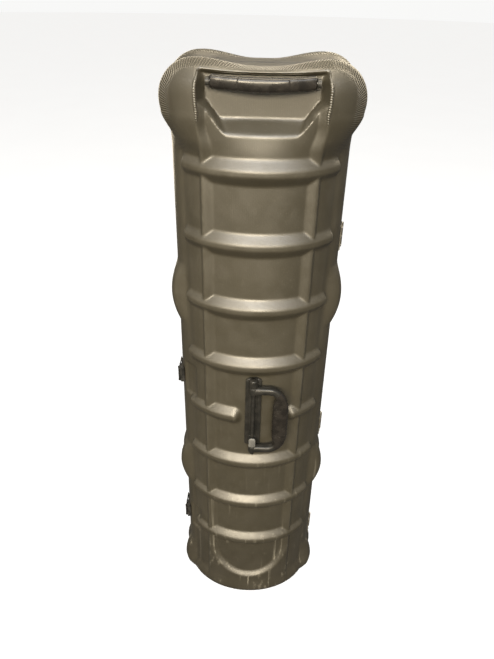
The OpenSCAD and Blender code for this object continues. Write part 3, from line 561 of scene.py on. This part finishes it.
def outward(x, z):
    """Direction of the swelling, away from the lobes' middles."""
    dx, dz = x - np.sign(x) * LOBE_X, z - LOBE_Z
    size = np.maximum(np.hypot(dx, dz), 1e-9)
    low, middle = z <= LOBE_Z, np.abs(x) <= LOBE_X
    return (np.where(low, np.sign(x), np.where(middle, 0, dx / size)),
            np.where(low, 0, np.where(middle, 1, dz / size)))


def rib_depth(x, z, half):
    """Depth of the ribs' own surface below their crests. The fifth front rib has a gap with rounded ends."""
    shapes = []
    for i in range(RIB_COUNT):
        off = np.abs(z - (RIB_TOP_Z - i * RIB_PITCH))
        if half == FRONT and i == 4:
            beyond = np.maximum(0, np.minimum(x - GAP_LEFT, GAP_RIGHT - x)) * GAP_STEEPNESS
            off = np.hypot(off, beyond)
        shapes.append(RIB_SLOPE * (np.hypot(np.maximum(0, off - RIB_FLAT), 0.003) - 0.003))
    return np.min(np.broadcast_arrays(*shapes), axis=0) + CHANNEL_DEPTH * ease(*RIB_TIP, np.abs(x))


def panel(x, z):
    """Depth of the sunken channel, with a round lower end, and of the sides beyond its ridges."""
    r = np.where(z > ARCH_Z, np.abs(x), np.hypot(x, ARCH_Z - z))
    widened = ease(1.170, 1.215, z)
    w = CHANNEL_HALF_W + HEAD_WIDENING * widened
    inside = (1 - ease(w - 0.009, w + 0.009 - 0.007 * widened, r)) * (1 - ease(TOP - 0.014, TOP - 0.004, z))
    beside = RIDGE_DROP + (SIDE_DROP - RIDGE_DROP) * ease(0.103, 0.110, np.abs(x))
    faded = beside * (1 - ease(0.140, 0.160, np.abs(x))) * ease(0.020, 0.060, z) * (1 - ease(1.150, 1.190, z))
    return CHANNEL_DEPTH * inside + faded * (1 - inside)


def pocket(x, z):
    """1 inside the hand recess behind the top handle."""
    half_w = np.where(z > 1.250, POCKET_HALF_W, POCKET_HALF_W - (1.250 - z) * 0.8)
    return ((1 - ease(0, POCKET_WALL, np.abs(x) - half_w)) * ease(1.196, 1.222, z)
            * (1 - ease(TOP - 0.009, TOP - 0.002, z)))


def recess(x, z):
    """1 inside the recesses over the wheels."""
    return ((1 - ease(HOUSING_W / 2 + 0.004, HOUSING_W / 2 + 0.016, np.abs(np.abs(x) - WHEEL_X)))
            * (1 - ease(HOUSING_H + 0.002, HOUSING_H + 0.030, z)))


def latch_pad(x, y, z):
    """Depth of the flat pads in front of the latches."""
    across = ease(0.0385, 0.043, y) * (1 - ease(0.066, 0.076, y))
    heights = [z - middle for middle in LATCH_Z]
    up = np.max([ease(-0.045, -0.036, h) * (1 - ease(0.038, 0.045, h)) for h in heights], axis=0)
    return np.where(x < 0, 0.004 * across * up, 0)


def shell_grid(rows, angle, half, inset):
    """Points of a shell surface by row and column. A row is (height, fullness, inset of the width)."""
    z, g, tuck = (rows[:, i, None] for i in range(3))
    sin_a, cos_a = np.sin(angle)[None, :], np.maximum(np.cos(angle), 0)[None, :]
    near_top = ease(TOP - EDGE_R - 0.024, TOP - EDGE_R + 0.004, z) * CORNER_SINK * g
    lean = np.maximum(0, 1 - (TOP - z) / LEAN_H)
    square = 1 - SQUARENESS * ease(1.150, 1.230, z)
    across = np.sign(sin_a) * np.abs(sin_a) ** square
    near_end = np.where(z > TOP / 2, 1 - (TOP - z) / END_H, 1 - z / END_H)
    lift = np.where(z > TOP / 2, -inset, inset) * np.clip(near_end, 0, 1)
    x0 = (rim_x(z + (rim_top(CORNER_X) - TOP) * lean - near_top) - tuck - inset) * across
    z0 = z + (rim_top(CORNER_X * across) - TOP) * lean - near_top * np.abs(sin_a) ** 6
    deep = (DEPTH - inset) * cos_a ** square * g
    nx, ny = x0 / SEAM_HALF_W ** 2, deep / DEPTH ** 2
    size = np.maximum(np.hypot(nx, ny), 1e-9)
    nx, ny = nx / size, ny / size
    drop = smooth_min(panel(x0, z0), rib_depth(x0, z0, half), 0.002)
    drop = drop * np.clip(deep / 0.030, 0, 1)
    if half == FRONT:
        drop = drop + latch_pad(x0, deep, z0)
    s = swelling(x0, z0, deep)
    if inset == 0:
        s = s - SEAM_ROUND * (1 - ease(0, 0.0022, deep))
    ox, oz = outward(x0, z0)
    y = deep - ny * drop - lobe_face(x0, z0) * np.clip(deep / 0.080 - 0.3, 0, 1) * g
    share, floor_y = (pocket(x0, z0), POCKET_Y) if half == FRONT else (recess(x0, z0), RECESS_Y)
    y = y - share * np.maximum(0, y - floor_y + inset)
    return np.stack([x0 - nx * drop + s * ox, half * (y + RIM_GAP / 2), z0 + lift + s * oz], axis=-1)


def even(points, values, step):
    """values read at places an even step apart along a line of points."""
    along = distance_along(points)
    at = np.linspace(0, along[-1], max(2, int(round(along[-1] / step)) + 1))
    return np.array([np.interp(at, along, v) for v in values])


SHELL_STEP, NEAR_SEAM = 0.0026, np.array([0.0028, 0.0014, 0.0006]) / DEPTH


def shell_rows(step):
    """Rows from the foot's middle up the side and over the top: (height, fullness, inset of the width)."""
    base = [(0, f, FOOT_INSET + 0.008 * (1 - f / FOOT_FULL)) for f in np.linspace(0, FOOT_FULL, 9)[:-1]]
    turn = np.radians(np.linspace(0, 90, int(FOOT_R * 1.6 / step) + 2))[:-1]
    tucked = [1 - math.sin(t) for t in turn]
    foot = [(FOOT_R * (1 - math.cos(t)), 1 - (1 - FOOT_FULL) * k, FOOT_INSET * k)
            for t, k in zip(turn, tucked)]
    body = [(z, 1, 0) for z in np.arange(FOOT_R, TOP - EDGE_R, step)]
    g = np.cos(np.linspace(0, math.pi / 2, 2000)) ** 0.5
    fall = (1 - np.clip(1 - g ** EDGE_POWER, 0, 1) ** (1 / EDGE_POWER)) * EDGE_R
    full = even(np.stack([g * DEPTH, fall], axis=1), [g], step)[0]
    full = np.concatenate([full[full > NEAR_SEAM[0] + 0.01], NEAR_SEAM, [0]])
    rim = [(TOP - EDGE_R * (1 - max(0, 1 - f ** EDGE_POWER) ** (1 / EDGE_POWER)), f, 0) for f in full]
    return np.array(base + foot + body + rim)


def shell_angles(step):
    a = np.linspace(0, math.pi / 2, 2000)
    quarter = even(np.stack([SEAM_HALF_W * np.sin(a), DEPTH * np.cos(a)], axis=1), [a], step)[0]
    near_seam = math.pi / 2 - NEAR_SEAM
    quarter = np.concatenate([quarter[:-1][quarter[:-1] < near_seam[0] - 0.004], near_seam, [math.pi / 2]])
    return np.concatenate([-quarter[:0:-1], quarter])


def shell(name, half, body, node):
    """A shell of two skins joined round the seam."""
    rows, angle = shell_rows(SHELL_STEP), shell_angles(SHELL_STEP)
    outer = shell_grid(rows, angle, half, 0)
    inner = shell_grid(rows, angle, half, WALL)
    m, k = outer.shape[:2]
    points = np.concatenate([outer.reshape(-1, 3), inner.reshape(-1, 3)])
    number = np.arange(m * k).reshape(m, k)
    corners = [number[:-1, :-1], number[:-1, 1:], number[1:, 1:], number[1:, :-1]]
    quads = np.stack(corners, axis=-1).reshape(-1, 4)
    loop = np.concatenate([number[0, :], number[1:, -1], number[-1, -2::-1], number[-2:0:-1, 0]])
    ahead = np.roll(loop, -1)
    band = np.stack([loop, loop + m * k, ahead + m * k, ahead], axis=-1)
    faces = np.concatenate([quads, quads[:, ::-1] + m * k, band])
    if half == BACK:
        faces = faces[:, ::-1]
    outside = len(quads)
    return piece(name, points, faces, SHELL, body, [node], "shell_plastic", 50,
                 (SHELL_INSIDE, lambda i: outside <= i < 2 * outside), facing=False)


shell("front_shell_skin", FRONT, "case_front", "front_shell")
shell("back_shell_skin", BACK, "case_back", "back_shell")


# ---- Rope-like beads moulded on the head ----
ROPE = (0.00035, 0.0037, 1.0)
RECESS_EDGE, RECESS_FOOT_Z, ROPE_STEP = 0.660, 1.215, 0.0006


def skin_line(rows, angles, half):
    """Points of the outer surface, one for each row and angle."""
    grid = shell_grid(np.array(rows, float), np.array(angles, float), half, 0)
    return grid[np.arange(len(rows)), np.arange(len(rows))]


def recess_edge_line(side):
    """The upright edge beside the top handle's recess."""
    rows, angles = [], []
    for z in np.linspace(RECESS_FOOT_Z, TOP - EDGE_R, 24):
        rows.append((z, 1, 0))
        angles.append(side * math.asin(RECESS_EDGE ** (1 / (1 - SQUARENESS * ease(1.150, 1.230, z)))))
    for g in (0.995, 0.98, 0.96, 0.93, 0.90, 0.87, 0.84):
        rows.append((TOP - EDGE_R * (1 - (1 - g ** EDGE_POWER) ** (1 / EDGE_POWER)), g, 0))
        angles.append(side * math.asin(RECESS_EDGE ** (1 / (1 - SQUARENESS))))
    line = skin_line(rows, angles, FRONT)
    return even(line, line.T, ROPE_STEP).T


def bead(path, half_w, lift, taper=0.02):
    """A half-sunken rope that thins out at its ends."""
    along = distance_along(path)
    ends = np.clip(np.minimum(along, along[-1] - along) / taper, 0.05, 1) ** 0.5
    return sweep(path, np.stack([half_w * ends, lift * ends], axis=1), (0, 1, 0), 2.0, 20, ripple=ROPE)


edges = [bead(recess_edge_line(side), 0.0034, 0.0032) for side in (-1, 1)]
piece("recess_edges", *joined(*edges), SHELL, "case_front", slot="shell_plastic", sharp=80)


# ---- Top pull handle ----
PULL_PIVOT = Vector((0, -0.101, 1.279))
PULL_FORWARD, PULL_SAG = 0.012, 0.0035
PULL_HALF, SLEEVE_HALF = 0.0843, 0.041


def pull_path(x):
    """The handle's middle line, which bows forward and sags in the middle."""
    share = np.abs(x) / 0.080
    y = PULL_PIVOT.y - PULL_FORWARD * (1 - np.clip(share, 0, 1) ** 2.4)
    z = PULL_PIVOT.z + 0.001 - PULL_SAG * (1 - np.clip(share, 0, 1) ** 2)
    return np.stack([x, y, z], axis=1)


def pull_handle():
    """The moulded frame with flared ends, and the grip round its middle."""
    x = np.linspace(-PULL_HALF, PULL_HALF, 121)
    far = np.abs(x)
    height = 0.0104 - 0.0004 * ease(0.058, 0.082, far) - 0.0006 * bell(far, 0.060, 0.012)
    depth = 0.0084 + 0.0014 * ease(0.060, 0.082, far)
    rounding = 1 - 0.25 * ease(PULL_HALF - 0.003, PULL_HALF, far)
    body = sweep(pull_path(x), np.stack([depth * rounding, height * rounding], axis=1), (0, 1, 0), 3.2, 28)
    piece("pull_handle_body", *body, GRIP, "pull_handle", ["pull_frame"], "black_plastic", 50)
    x = np.linspace(-SLEEVE_HALF, SLEEVE_HALF, 81)
    end = np.clip((SLEEVE_HALF - np.abs(x)) / 0.003, 0, 1) ** 0.5
    crown = 0.0006 * (1 - (x / SLEEVE_HALF) ** 2)
    grip = np.stack([0.0084 + 0.0008 * end + crown, 0.0096 + 0.0008 * end + crown], axis=1)
    sleeve = sweep(pull_path(x), grip, (0, 1, 0), 3.0, 32)
    piece("pull_handle_sleeve", *sleeve, GRIP, "pull_handle", ["pull_grip"], "grip_plastic", 40)


pull_handle()


# ---- Carrying handle ----
CARRY_Y, CARRY_Z, CARRY_SPAN, CARRY_REACH, CARRY_BEND = -0.1275, 0.613, 0.160, 0.058, 0.026
EYE_R, EYE_HALF, LUG_H = 0.0086, 0.0086, 0.018


def bail_path(count):
    """The bail's middle line from the upper eye round to the lower eye, at even steps."""
    half, straight = CARRY_SPAN / 2, CARRY_REACH - CARRY_BEND
    turn = np.linspace(0, math.pi / 2, 30)
    xs = [0.0] + list(straight + CARRY_BEND * np.sin(turn))
    zs = [half] + list(half - CARRY_BEND * (1 - np.cos(turn)))
    xs, zs = xs + xs[::-1], zs + [-z for z in zs[::-1]]
    line = np.stack([xs, np.zeros(len(xs)), zs], axis=1)
    along = distance_along(line)
    at = np.linspace(0, along[-1], count)
    return np.stack([np.interp(at, along, line[:, i]) for i in range(3)], axis=1) + (0, CARRY_Y, CARRY_Z)


def across_bail(path):
    """Directions across the bail in its own plane."""
    return unit(np.cross(unit(np.gradient(path, axis=0)), np.array([0, 1.0, 0])))


def carry_handle():
    """The bail with an eye at each end, and its thick grip."""
    path = bail_path(140)
    reach = path[:, 0] / CARRY_REACH
    arm = np.stack([0.0088 - 0.0006 * ease(0.1, 0.5, reach), 0.0086 - 0.0004 * ease(0.1, 0.5, reach)], axis=1)
    arms = sweep(path, arm, across_bail(path), 2.7, 28)
    eye = rounded(EYE_R, -EYE_HALF, EYE_HALF, 0.0016)
    eyes = [lathe(eye, (0, CARRY_Y, CARRY_Z + s * CARRY_SPAN / 2), (0, 0, 1)) for s in (-1, 1)]
    piece("carry_arms", *joined(arms, *eyes), BLACK, "carry_handle", ["carry_bail"], "black_plastic", 40)
    start = CARRY_SPAN / 2 - CARRY_BEND * 0.30
    path = bail_path(420)
    path = path[(np.abs(path[:, 2] - CARRY_Z) <= start) & (path[:, 0] > 0.035)]
    up = np.abs(path[:, 2] - CARRY_Z) / start
    full = 1 - ease(0.52, 1.0, up)
    sizes = np.stack([0.0090 + 0.0075 * full, 0.0088 + 0.0013 * full], axis=1)
    sleeve = sweep(path, sizes, across_bail(path), 2.8, 36)
    piece("carry_sleeve", *sleeve, GRIP, "carry_handle", ["carry_grip"], "grip_plastic", 40)


def facing_front(y):
    """Turns slab rows into points on a plate that faces the front, with its back at y."""
    return lambda p: np.column_stack([p[:, 0], y - p[:, 2], p[:, 1]])


def carry_base():
    """The long plate with its two knuckles, and the grey tab."""
    low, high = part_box("carry_plate")
    half_w, z0, z1 = 0.0168, low[2], high[2]
    back, front = high[1], high[1] - 0.0062
    outline = round_outline(rectangle(half_w, z0, z1 - 0.004), [0.005, 0.005, 0.010, 0.010])
    plate = slab(outline, 0, back - front, 0.0016, facing_front(back))
    raised = round_outline(rectangle(0.0095, z0 + 0.036, z1 - 0.030), 0.006)
    boss = slab(raised, 0, 0.0012, 0.0008, facing_front(front))
    parts = [plate, boss]
    lower_foot = CARRY_Z - CARRY_SPAN / 2 + 0.0097
    for foot, top in ((z1 - LUG_H, z1), (lower_foot, lower_foot + LUG_H)):
        parts.append(lathe(rounded(0.0084, foot, top, 0.0022), (0, CARRY_Y, 0), (0, 0, 1)))
        neck = round_outline(rectangle(0.0080, foot, top), 0.0016)
        parts.append(slab(neck, 0, -CARRY_Y + front - 0.001, 0.0008, facing_front(front + 0.001)))
    piece("carry_base", *joined(*parts), BLACK, "case_front", ["carry_plate"], "black_plastic", 40)
    low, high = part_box("carry_tab")
    shape = rectangle((high[0] - low[0]) / 2 + 0.0003, low[2] + 0.002, high[2] + 0.008)
    outline = round_outline(shape, [0.003, 0.003, 0.006, 0.006])
    tab = slab(outline, 0, 0.0030, 0.0010, facing_front(low[1] + 0.0022))
    piece("carry_tab_cover", *tab, GREY, "case_front", ["carry_tab"], "grey_plastic", 40)


carry_handle()
carry_base()


# ---- Latches ----
LATCH_SIDE = -1
LATCH_X, LEVER_PIVOT_Y, LOOP_Y, LOOP_FAR_Y, LOOP_Z = 0.1662, -0.030, -0.017, 0.0156, 0.014


def latch(name, middle):
    """A pull-down lever with a finger lip and grip ridges, and its bent wire loop."""
    body, lever_node, loop_node = f"lever_{name}", f"latch_lever_{name}", f"latch_loop_{name}"

    def place(p):
        return np.column_stack([LATCH_SIDE * (LATCH_X + p[:, 2]), p[:, 0], middle + p[:, 1]])

    half = 0.0115
    near, far = -0.029, -0.0042
    corners = [(near, -half), (far, -half + 0.001), (far, half - 0.001), (near, half)]
    paddle = round_outline(corners, [0.002, 0.005, 0.005, 0.002])
    parts = [slab(paddle, -0.0020, 0.0020, 0.0009, place)]
    lip = place(np.array([(-0.0055, v, 0.0018) for v in np.linspace(-half + 0.0025, half - 0.0025, 13)]))
    parts.append(sweep(lip, (0.0013, 0.0011), (0, 1, 0), 2.4, 16))
    for y in (-0.0105, -0.0135, -0.0205, -0.0235):
        ridge = place(np.array([(y, v, 0.0020) for v in np.linspace(-half + 0.003, half - 0.003, 13)]))
        parts.append(sweep(ridge, (0.0008, 0.0006), (0, 1, 0), 2.0, 12))
    parts.append(lathe(rounded(0.0026, -0.0151, 0.0151, 0.0006),
                       (LATCH_SIDE * LATCH_X, LEVER_PIVOT_Y, middle), (0, 0, 1), 28))
    piece(f"{lever_node}_body", *joined(*parts), MATT, body, [lever_node], "black_plastic", 40)
    corners = [(LOOP_Y, -LOOP_Z, 0), (LOOP_FAR_Y, -LOOP_Z, 0), (LOOP_FAR_Y, LOOP_Z, 0), (LOOP_Y, LOOP_Z, 0)]
    wire = place(round_outline(corners, 0.0028, 6, bow=0.8))
    loop = sweep(wire, (0.0012, 0.0012), (LATCH_SIDE, 0, 0), 2.0, 16, closed=True)
    piece(f"{loop_node}_wire", *loop, BLACKENED, f"loop_{name}", [loop_node], "steel", 60)


for name, middle in zip(("upper", "lower"), LATCH_Z):
    latch(name, middle)


# ---- Wheels ----
def tyre(side):
    """A tyre with a crowned tread, two grooves and cut shoulder blocks."""
    node = f"wheel_tyre_{side}"
    low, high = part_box(node)
    middle = (Vector(low) + Vector(high)) / 2
    outer, half_w, inner = (high[2] - low[2]) / 2, (high[0] - low[0]) / 2, 0.02105
    profile = [(inner, -half_w + 0.001), (inner + 0.001, -half_w), (outer - 0.0050, -half_w),
               (outer - 0.0030, -half_w + 0.0007), (outer - 0.0010, -half_w + 0.0022),
               (outer - 0.0002, -half_w + 0.0045)]
    profile += [(outer, -0.0052), (outer, -0.0046), (outer - 0.0014, -0.0042), (outer - 0.0014, -0.0030),
                (outer, -0.0026), (outer, -0.0010)]
    profile += [(r, -h) for r, h in reversed(profile)]
    count = 144

    def blocks(angle, radius, height):
        cut = int(round(angle / (2 * math.pi) * count)) % 6 in (0, 1)
        return -0.0012 if cut and abs(height) > 0.0048 and radius > outer - 0.0032 else 0

    shape = lathe(profile, middle, (1, 0, 0), count, blocks, closed=True)
    piece(f"{node}_tread", *shape, RUBBER, f"wheel_{side}", [node], "tyre", 30)


for side in ("left", "right"):
    tyre(side)


# ---- Padding ----
def apply_modifiers(obj):
    """Keeps the result of obj's modifiers and removes them."""
    graph = bpy.context.evaluated_depsgraph_get()
    made = bpy.data.meshes.new_from_object(obj.evaluated_get(graph))
    obj.modifiers.clear()
    obj.data = made


PAD_SHRINK, PAD_CAP, PAD_VOXEL, PAD_PRESSURE, CLOTH_FRAMES = 0.0045, 0.0055, 0.006, 4.0, 20
SEAM_SUNK, SEAM_W = 0.0035, 0.0045


def pad(node, body, seams):
    """A foam pad in a sewn woven cover. seams gives the places of sewn channels as (axis, place)."""
    low, high = (np.array(v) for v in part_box(node))
    middle, half = (low + high) / 2, (high - low) / 2
    obj = bpy.data.objects.new(f"{node}_cover", frame["nodes"][node].data.copy())
    scene.collection.objects.link(obj)
    for v in obj.data.vertices:
        v.co = Vector(middle + (np.array(v.co) - middle) * (1 - PAD_SHRINK / half))
    remesh = obj.modifiers.new("even", "REMESH")
    remesh.mode, remesh.voxel_size = "VOXEL", PAD_VOXEL
    apply_modifiers(obj)
    start = np.array([v.co[:] for v in obj.data.vertices])
    cloth = obj.modifiers.new("fill", "CLOTH")
    cloth.settings.use_pressure = True
    cloth.settings.uniform_pressure_force = PAD_PRESSURE
    cloth.settings.effector_weights.gravity = 0.0
    cloth.settings.quality = 5
    cloth.point_cache.frame_start, cloth.point_cache.frame_end = 1, CLOTH_FRAMES
    for number in range(1, CLOTH_FRAMES + 1):
        scene.frame_set(number)
    apply_modifiers(obj)
    scene.frame_set(1)
    end = np.array([v.co[:] for v in obj.data.vertices])
    move = end - start
    length = np.linalg.norm(move, axis=1, keepdims=True)
    end = start + move * np.minimum(1, PAD_CAP / np.maximum(length, 1e-9))
    normals = np.array([v.normal[:] for v in obj.data.vertices])
    for axis, place in seams:
        end = end - normals * (SEAM_SUNK * bell(end[:, axis], place, SEAM_W))[:, None]
    end = np.clip(end, low - 0.001, high + 0.001)
    obj.data.vertices.foreach_set("co", end.ravel())
    obj.data.materials.clear()
    obj.data.materials.append(LINING)
    obj.data.polygons.foreach_set("use_smooth", [True] * len(obj.data.polygons))
    smooth = obj.modifiers.new("smooth", "SUBSURF")
    smooth.levels, smooth.render_levels = 1, 1
    apply_modifiers(obj)
    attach(obj, body)
    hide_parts(node)


for half, body in (("back", "case_back"), ("front", "case_front")):
    pad(f"head_pad_{half}", body, [(2, 1.063), (2, 1.127), (0, -0.045), (0, 0.045)])
    pad(f"base_pad_{half}", body, [(0, -0.045), (0, 0.045)])


# ---- Straps ----
STRAP_Z, STRAP_HALF_W, STRAP_DEEP = (0.900, 0.430), 0.150, 0.101
STRAP_W, STRAP_T = 0.038, 0.0018
NEAR_DEG, FAR_DEG, FOLD_DEG = 13.4, 80, 30


def strap_line(side, start, end, inward, count=64):
    """The strap's middle line, with slack waves and an inward offset."""
    a = np.radians(np.linspace(start, end, count))
    wave = 0.0006 * np.sin(a * 17) * np.sin(math.pi * (a - a[0]) / (a[-1] - a[0]))
    reach, deep = STRAP_HALF_W - 0.001 - inward - wave, STRAP_DEEP - 0.001 - inward - wave
    return np.stack([side * reach * np.sin(a), deep * np.cos(a), np.zeros(count)], axis=1)


def straps(name, side):
    """The two straps of one side, each with a folded-back tail and a keeper band."""
    parts = []
    for z in STRAP_Z:
        ribbon = strap_line(side, NEAR_DEG, FAR_DEG, 0) + (0, 0, z)
        parts.append(sweep(ribbon, (STRAP_W / 2, STRAP_T / 2), (0, 0, 1), 7.0, 28))
        tail = strap_line(side, NEAR_DEG + 2, FOLD_DEG, 0.0021, 24) + (0, 0, z)
        parts.append(sweep(tail, (STRAP_W / 2, STRAP_T / 2), (0, 0, 1), 7.0, 28))
        band = strap_line(side, FOLD_DEG - 6, FOLD_DEG - 3, 0.0036, 6) + (0, 0, z)
        parts.append(sweep(band, (STRAP_W / 2 + 0.0016, 0.0008), (0, 0, 1), 7.0, 20))
    piece(f"{name}_webbing", *joined(*parts), WEBBING, "case_back", [name], "webbing", 45)


straps("straps_left", -1)
straps("straps_right", 1)

BUCKLE_Y, BUCKLE_HALF_T = 0.0925, 0.0045


def buckles():
    """Side-release buckles: sockets with a pressed oval, and plugs with grip bars and two prongs."""
    sockets, plugs = [], []
    for z in STRAP_Z:
        def place(p):
            return np.column_stack([p[:, 0], BUCKLE_Y + p[:, 2], z + p[:, 1]])

        side_cut = [(0.004, 0.022), (-0.003, 0.022), (-0.005, 0.0165), (-0.015, 0.0165), (-0.018, 0.024),
                    (-0.034, 0.021)]
        outline = [(x, -v) for x, v in side_cut] + [(x, v) for x, v in reversed(side_cut)]
        sockets.append(slab(round_outline(outline, 0.0016, 4), -BUCKLE_HALF_T, BUCKLE_HALF_T, 0.0016, place))
        oval = round_outline([(-0.030, -0.010), (-0.014, -0.006), (-0.014, 0.006), (-0.030, 0.010)], 0.004, 4)
        sockets.append(slab(oval, -BUCKLE_HALF_T - 0.0008, -BUCKLE_HALF_T + 0.001, 0.0006, place))
        outline = [(0.0062, -0.022), (0.016, -0.022), (0.034, -0.0205), (0.034, 0.0205), (0.016, 0.022),
                   (0.0062, 0.022)]
        plugs.append(slab(round_outline(outline, 0.0022, 4), -BUCKLE_HALF_T, BUCKLE_HALF_T, 0.0016, place))
        for low in (0.010, 0.016, 0.022, 0.028):
            bar = place(np.array([(low, v, -BUCKLE_HALF_T) for v in np.linspace(-0.015, 0.015, 9)]))
            plugs.append(sweep(bar, (0.0008, 0.0006), (0, 1, 0), 2.0, 10))
        for v in (-0.0125, 0.0125):
            prong = place(np.array([(x, v + math.copysign(0.0025, v) * (1 - abs(x + 0.004) / 0.011), 0)
                                    for x in np.linspace(-0.013, 0.0065, 14)]))
            plugs.append(sweep(prong, (0.0030, 0.0017), (0, 0, 1), 3.0, 16))
    for name, node, parts in (("buckle_socket_bodies", "buckle_sockets", sockets),
                              ("buckle_plug_bodies", "buckle_plugs", plugs)):
        piece(name, *joined(*parts), BLACK, "case_back", [node], "black_plastic", 40)


buckles()


# ---- Stage ----
STAGE_SIZE, WORLD_LOW, WORLD_HIGH = 30.0, 0.10, 0.40


def stage_piece(mesh):
    """Shows a mesh as scenery that lights nothing and is in no reflection."""
    made = bpy.data.objects.new(mesh.name, mesh)
    scene.collection.objects.link(made)
    made.visible_diffuse = False
    made.visible_glossy = False
    return made


def floor():
    mesh = bpy.data.meshes.new("floor")
    size = STAGE_SIZE
    corners = [(-size, -size, 0), (size, -size, 0), (size, size, 0), (-size, size, 0)]
    mesh.from_pydata(corners, [], [(0, 1, 2, 3)])
    n = Nodes("floor")
    tone = n.mix(n.ramp(n.noise(2.0, 2.0), 0.3, 0.7), rgb(0.86, 0.86, 0.85), rgb(0.88, 0.88, 0.87))
    mesh.materials.append(n.finish(Base_Color=tone, Roughness=0.9, Emission_Color=rgb(1, 1, 1),
                                   Emission_Strength=0.56))
    return stage_piece(mesh)


def studio_world():
    """A world that is brighter above than below."""
    world = bpy.data.worlds.new("studio")
    world.use_nodes = True
    tree = world.node_tree
    place = tree.nodes.new("ShaderNodeTexCoord")
    height = tree.nodes.new("ShaderNodeSeparateXYZ")
    level = tree.nodes.new("ShaderNodeMapRange")
    tree.links.new(place.outputs["Generated"], height.inputs[0])
    tree.links.new(height.outputs[2], level.inputs["Value"])
    spread = {"From Min": -0.25, "From Max": 0.35, "To Min": WORLD_LOW, "To Max": WORLD_HIGH}
    for key, value in spread.items():
        level.inputs[key].default_value = value
    tree.nodes["Background"].inputs[0].default_value = rgb(1.0, 0.98, 0.95)
    tree.links.new(level.outputs[0], tree.nodes["Background"].inputs[1])
    scene.world = world


def backdrop():
    """A pale sphere round everything."""
    mesh = bpy.data.meshes.new("backdrop")
    shape = bmesh.new()
    bmesh.ops.create_uvsphere(shape, u_segments=48, v_segments=24, radius=STAGE_SIZE * 0.9)
    shape.to_mesh(mesh)
    shape.free()
    n = Nodes("backdrop")
    glow = n.mix(n.ramp(n.noise(0.05), 0.3, 0.7), rgb(0.93, 0.93, 0.92), rgb(0.95, 0.95, 0.94))
    mesh.materials.append(n.finish(Base_Color=rgb(0, 0, 0), Roughness=1.0, Specular_IOR_Level=0.0,
                                   Emission_Color=glow, Emission_Strength=1.0))
    made = stage_piece(mesh)
    made.visible_shadow = False
    return made


def lamp(name, place, target, size, power, tint, lit=None):
    """An area lamp. lit is a collection that it shines on, or None for everything."""
    data = bpy.data.lights.new(name, "AREA")
    data.shape = "RECTANGLE"
    data.size, data.size_y = size
    data.energy = power
    data.color = tint
    made = bpy.data.objects.new(name, data)
    scene.collection.objects.link(made)
    made.location = place
    made.rotation_euler = (Vector(target) - Vector(place)).to_track_quat("-Z", "Y").to_euler()
    if lit:
        made.light_linking.receiver_collection = lit


scene.view_settings.view_transform = "Standard"
studio_world()
stage_pieces = (floor(), backdrop())
case_only = bpy.data.collections.new("case_only")
for thing in scene.objects:
    if thing.type == "MESH" and thing not in stage_pieces:
        case_only.objects.link(thing)
WARM = (1.0, 0.86, 0.63)
lamp("key", (-0.50, -1.05, 2.45), (0, 0, 0.72), (1.2, 0.9), 8, WARM, case_only)
lamp("ceiling_row", (-0.6, -5.0, 2.9), (0, 0, 0.50), (4.0, 1.1), 650, WARM, case_only)
lamp("top_light", (0.10, 0.55, 2.90), (0, 0, 1.2), (1.0, 0.6), 22, WARM, case_only)
lamp("fill", (-1.8, -1.2, 0.9), (0, 0, 0.7), (0.8, 1.2), 5, WARM, case_only)
lamp("back_fill", (1.6, 2.2, 2.3), (0, 0, 0.6), (1.6, 1.6), 75, WARM, case_only)
lamp("back_soft", (-1.2, 2.6, 1.0), (0, 0, 0.6), (1.6, 1.6), 55, WARM, case_only)
lamp("floor_wash", (0, -2.2, 3.6), (0, 0.4, 0), (3.0, 2.0), 150, (1.0, 0.99, 0.97))
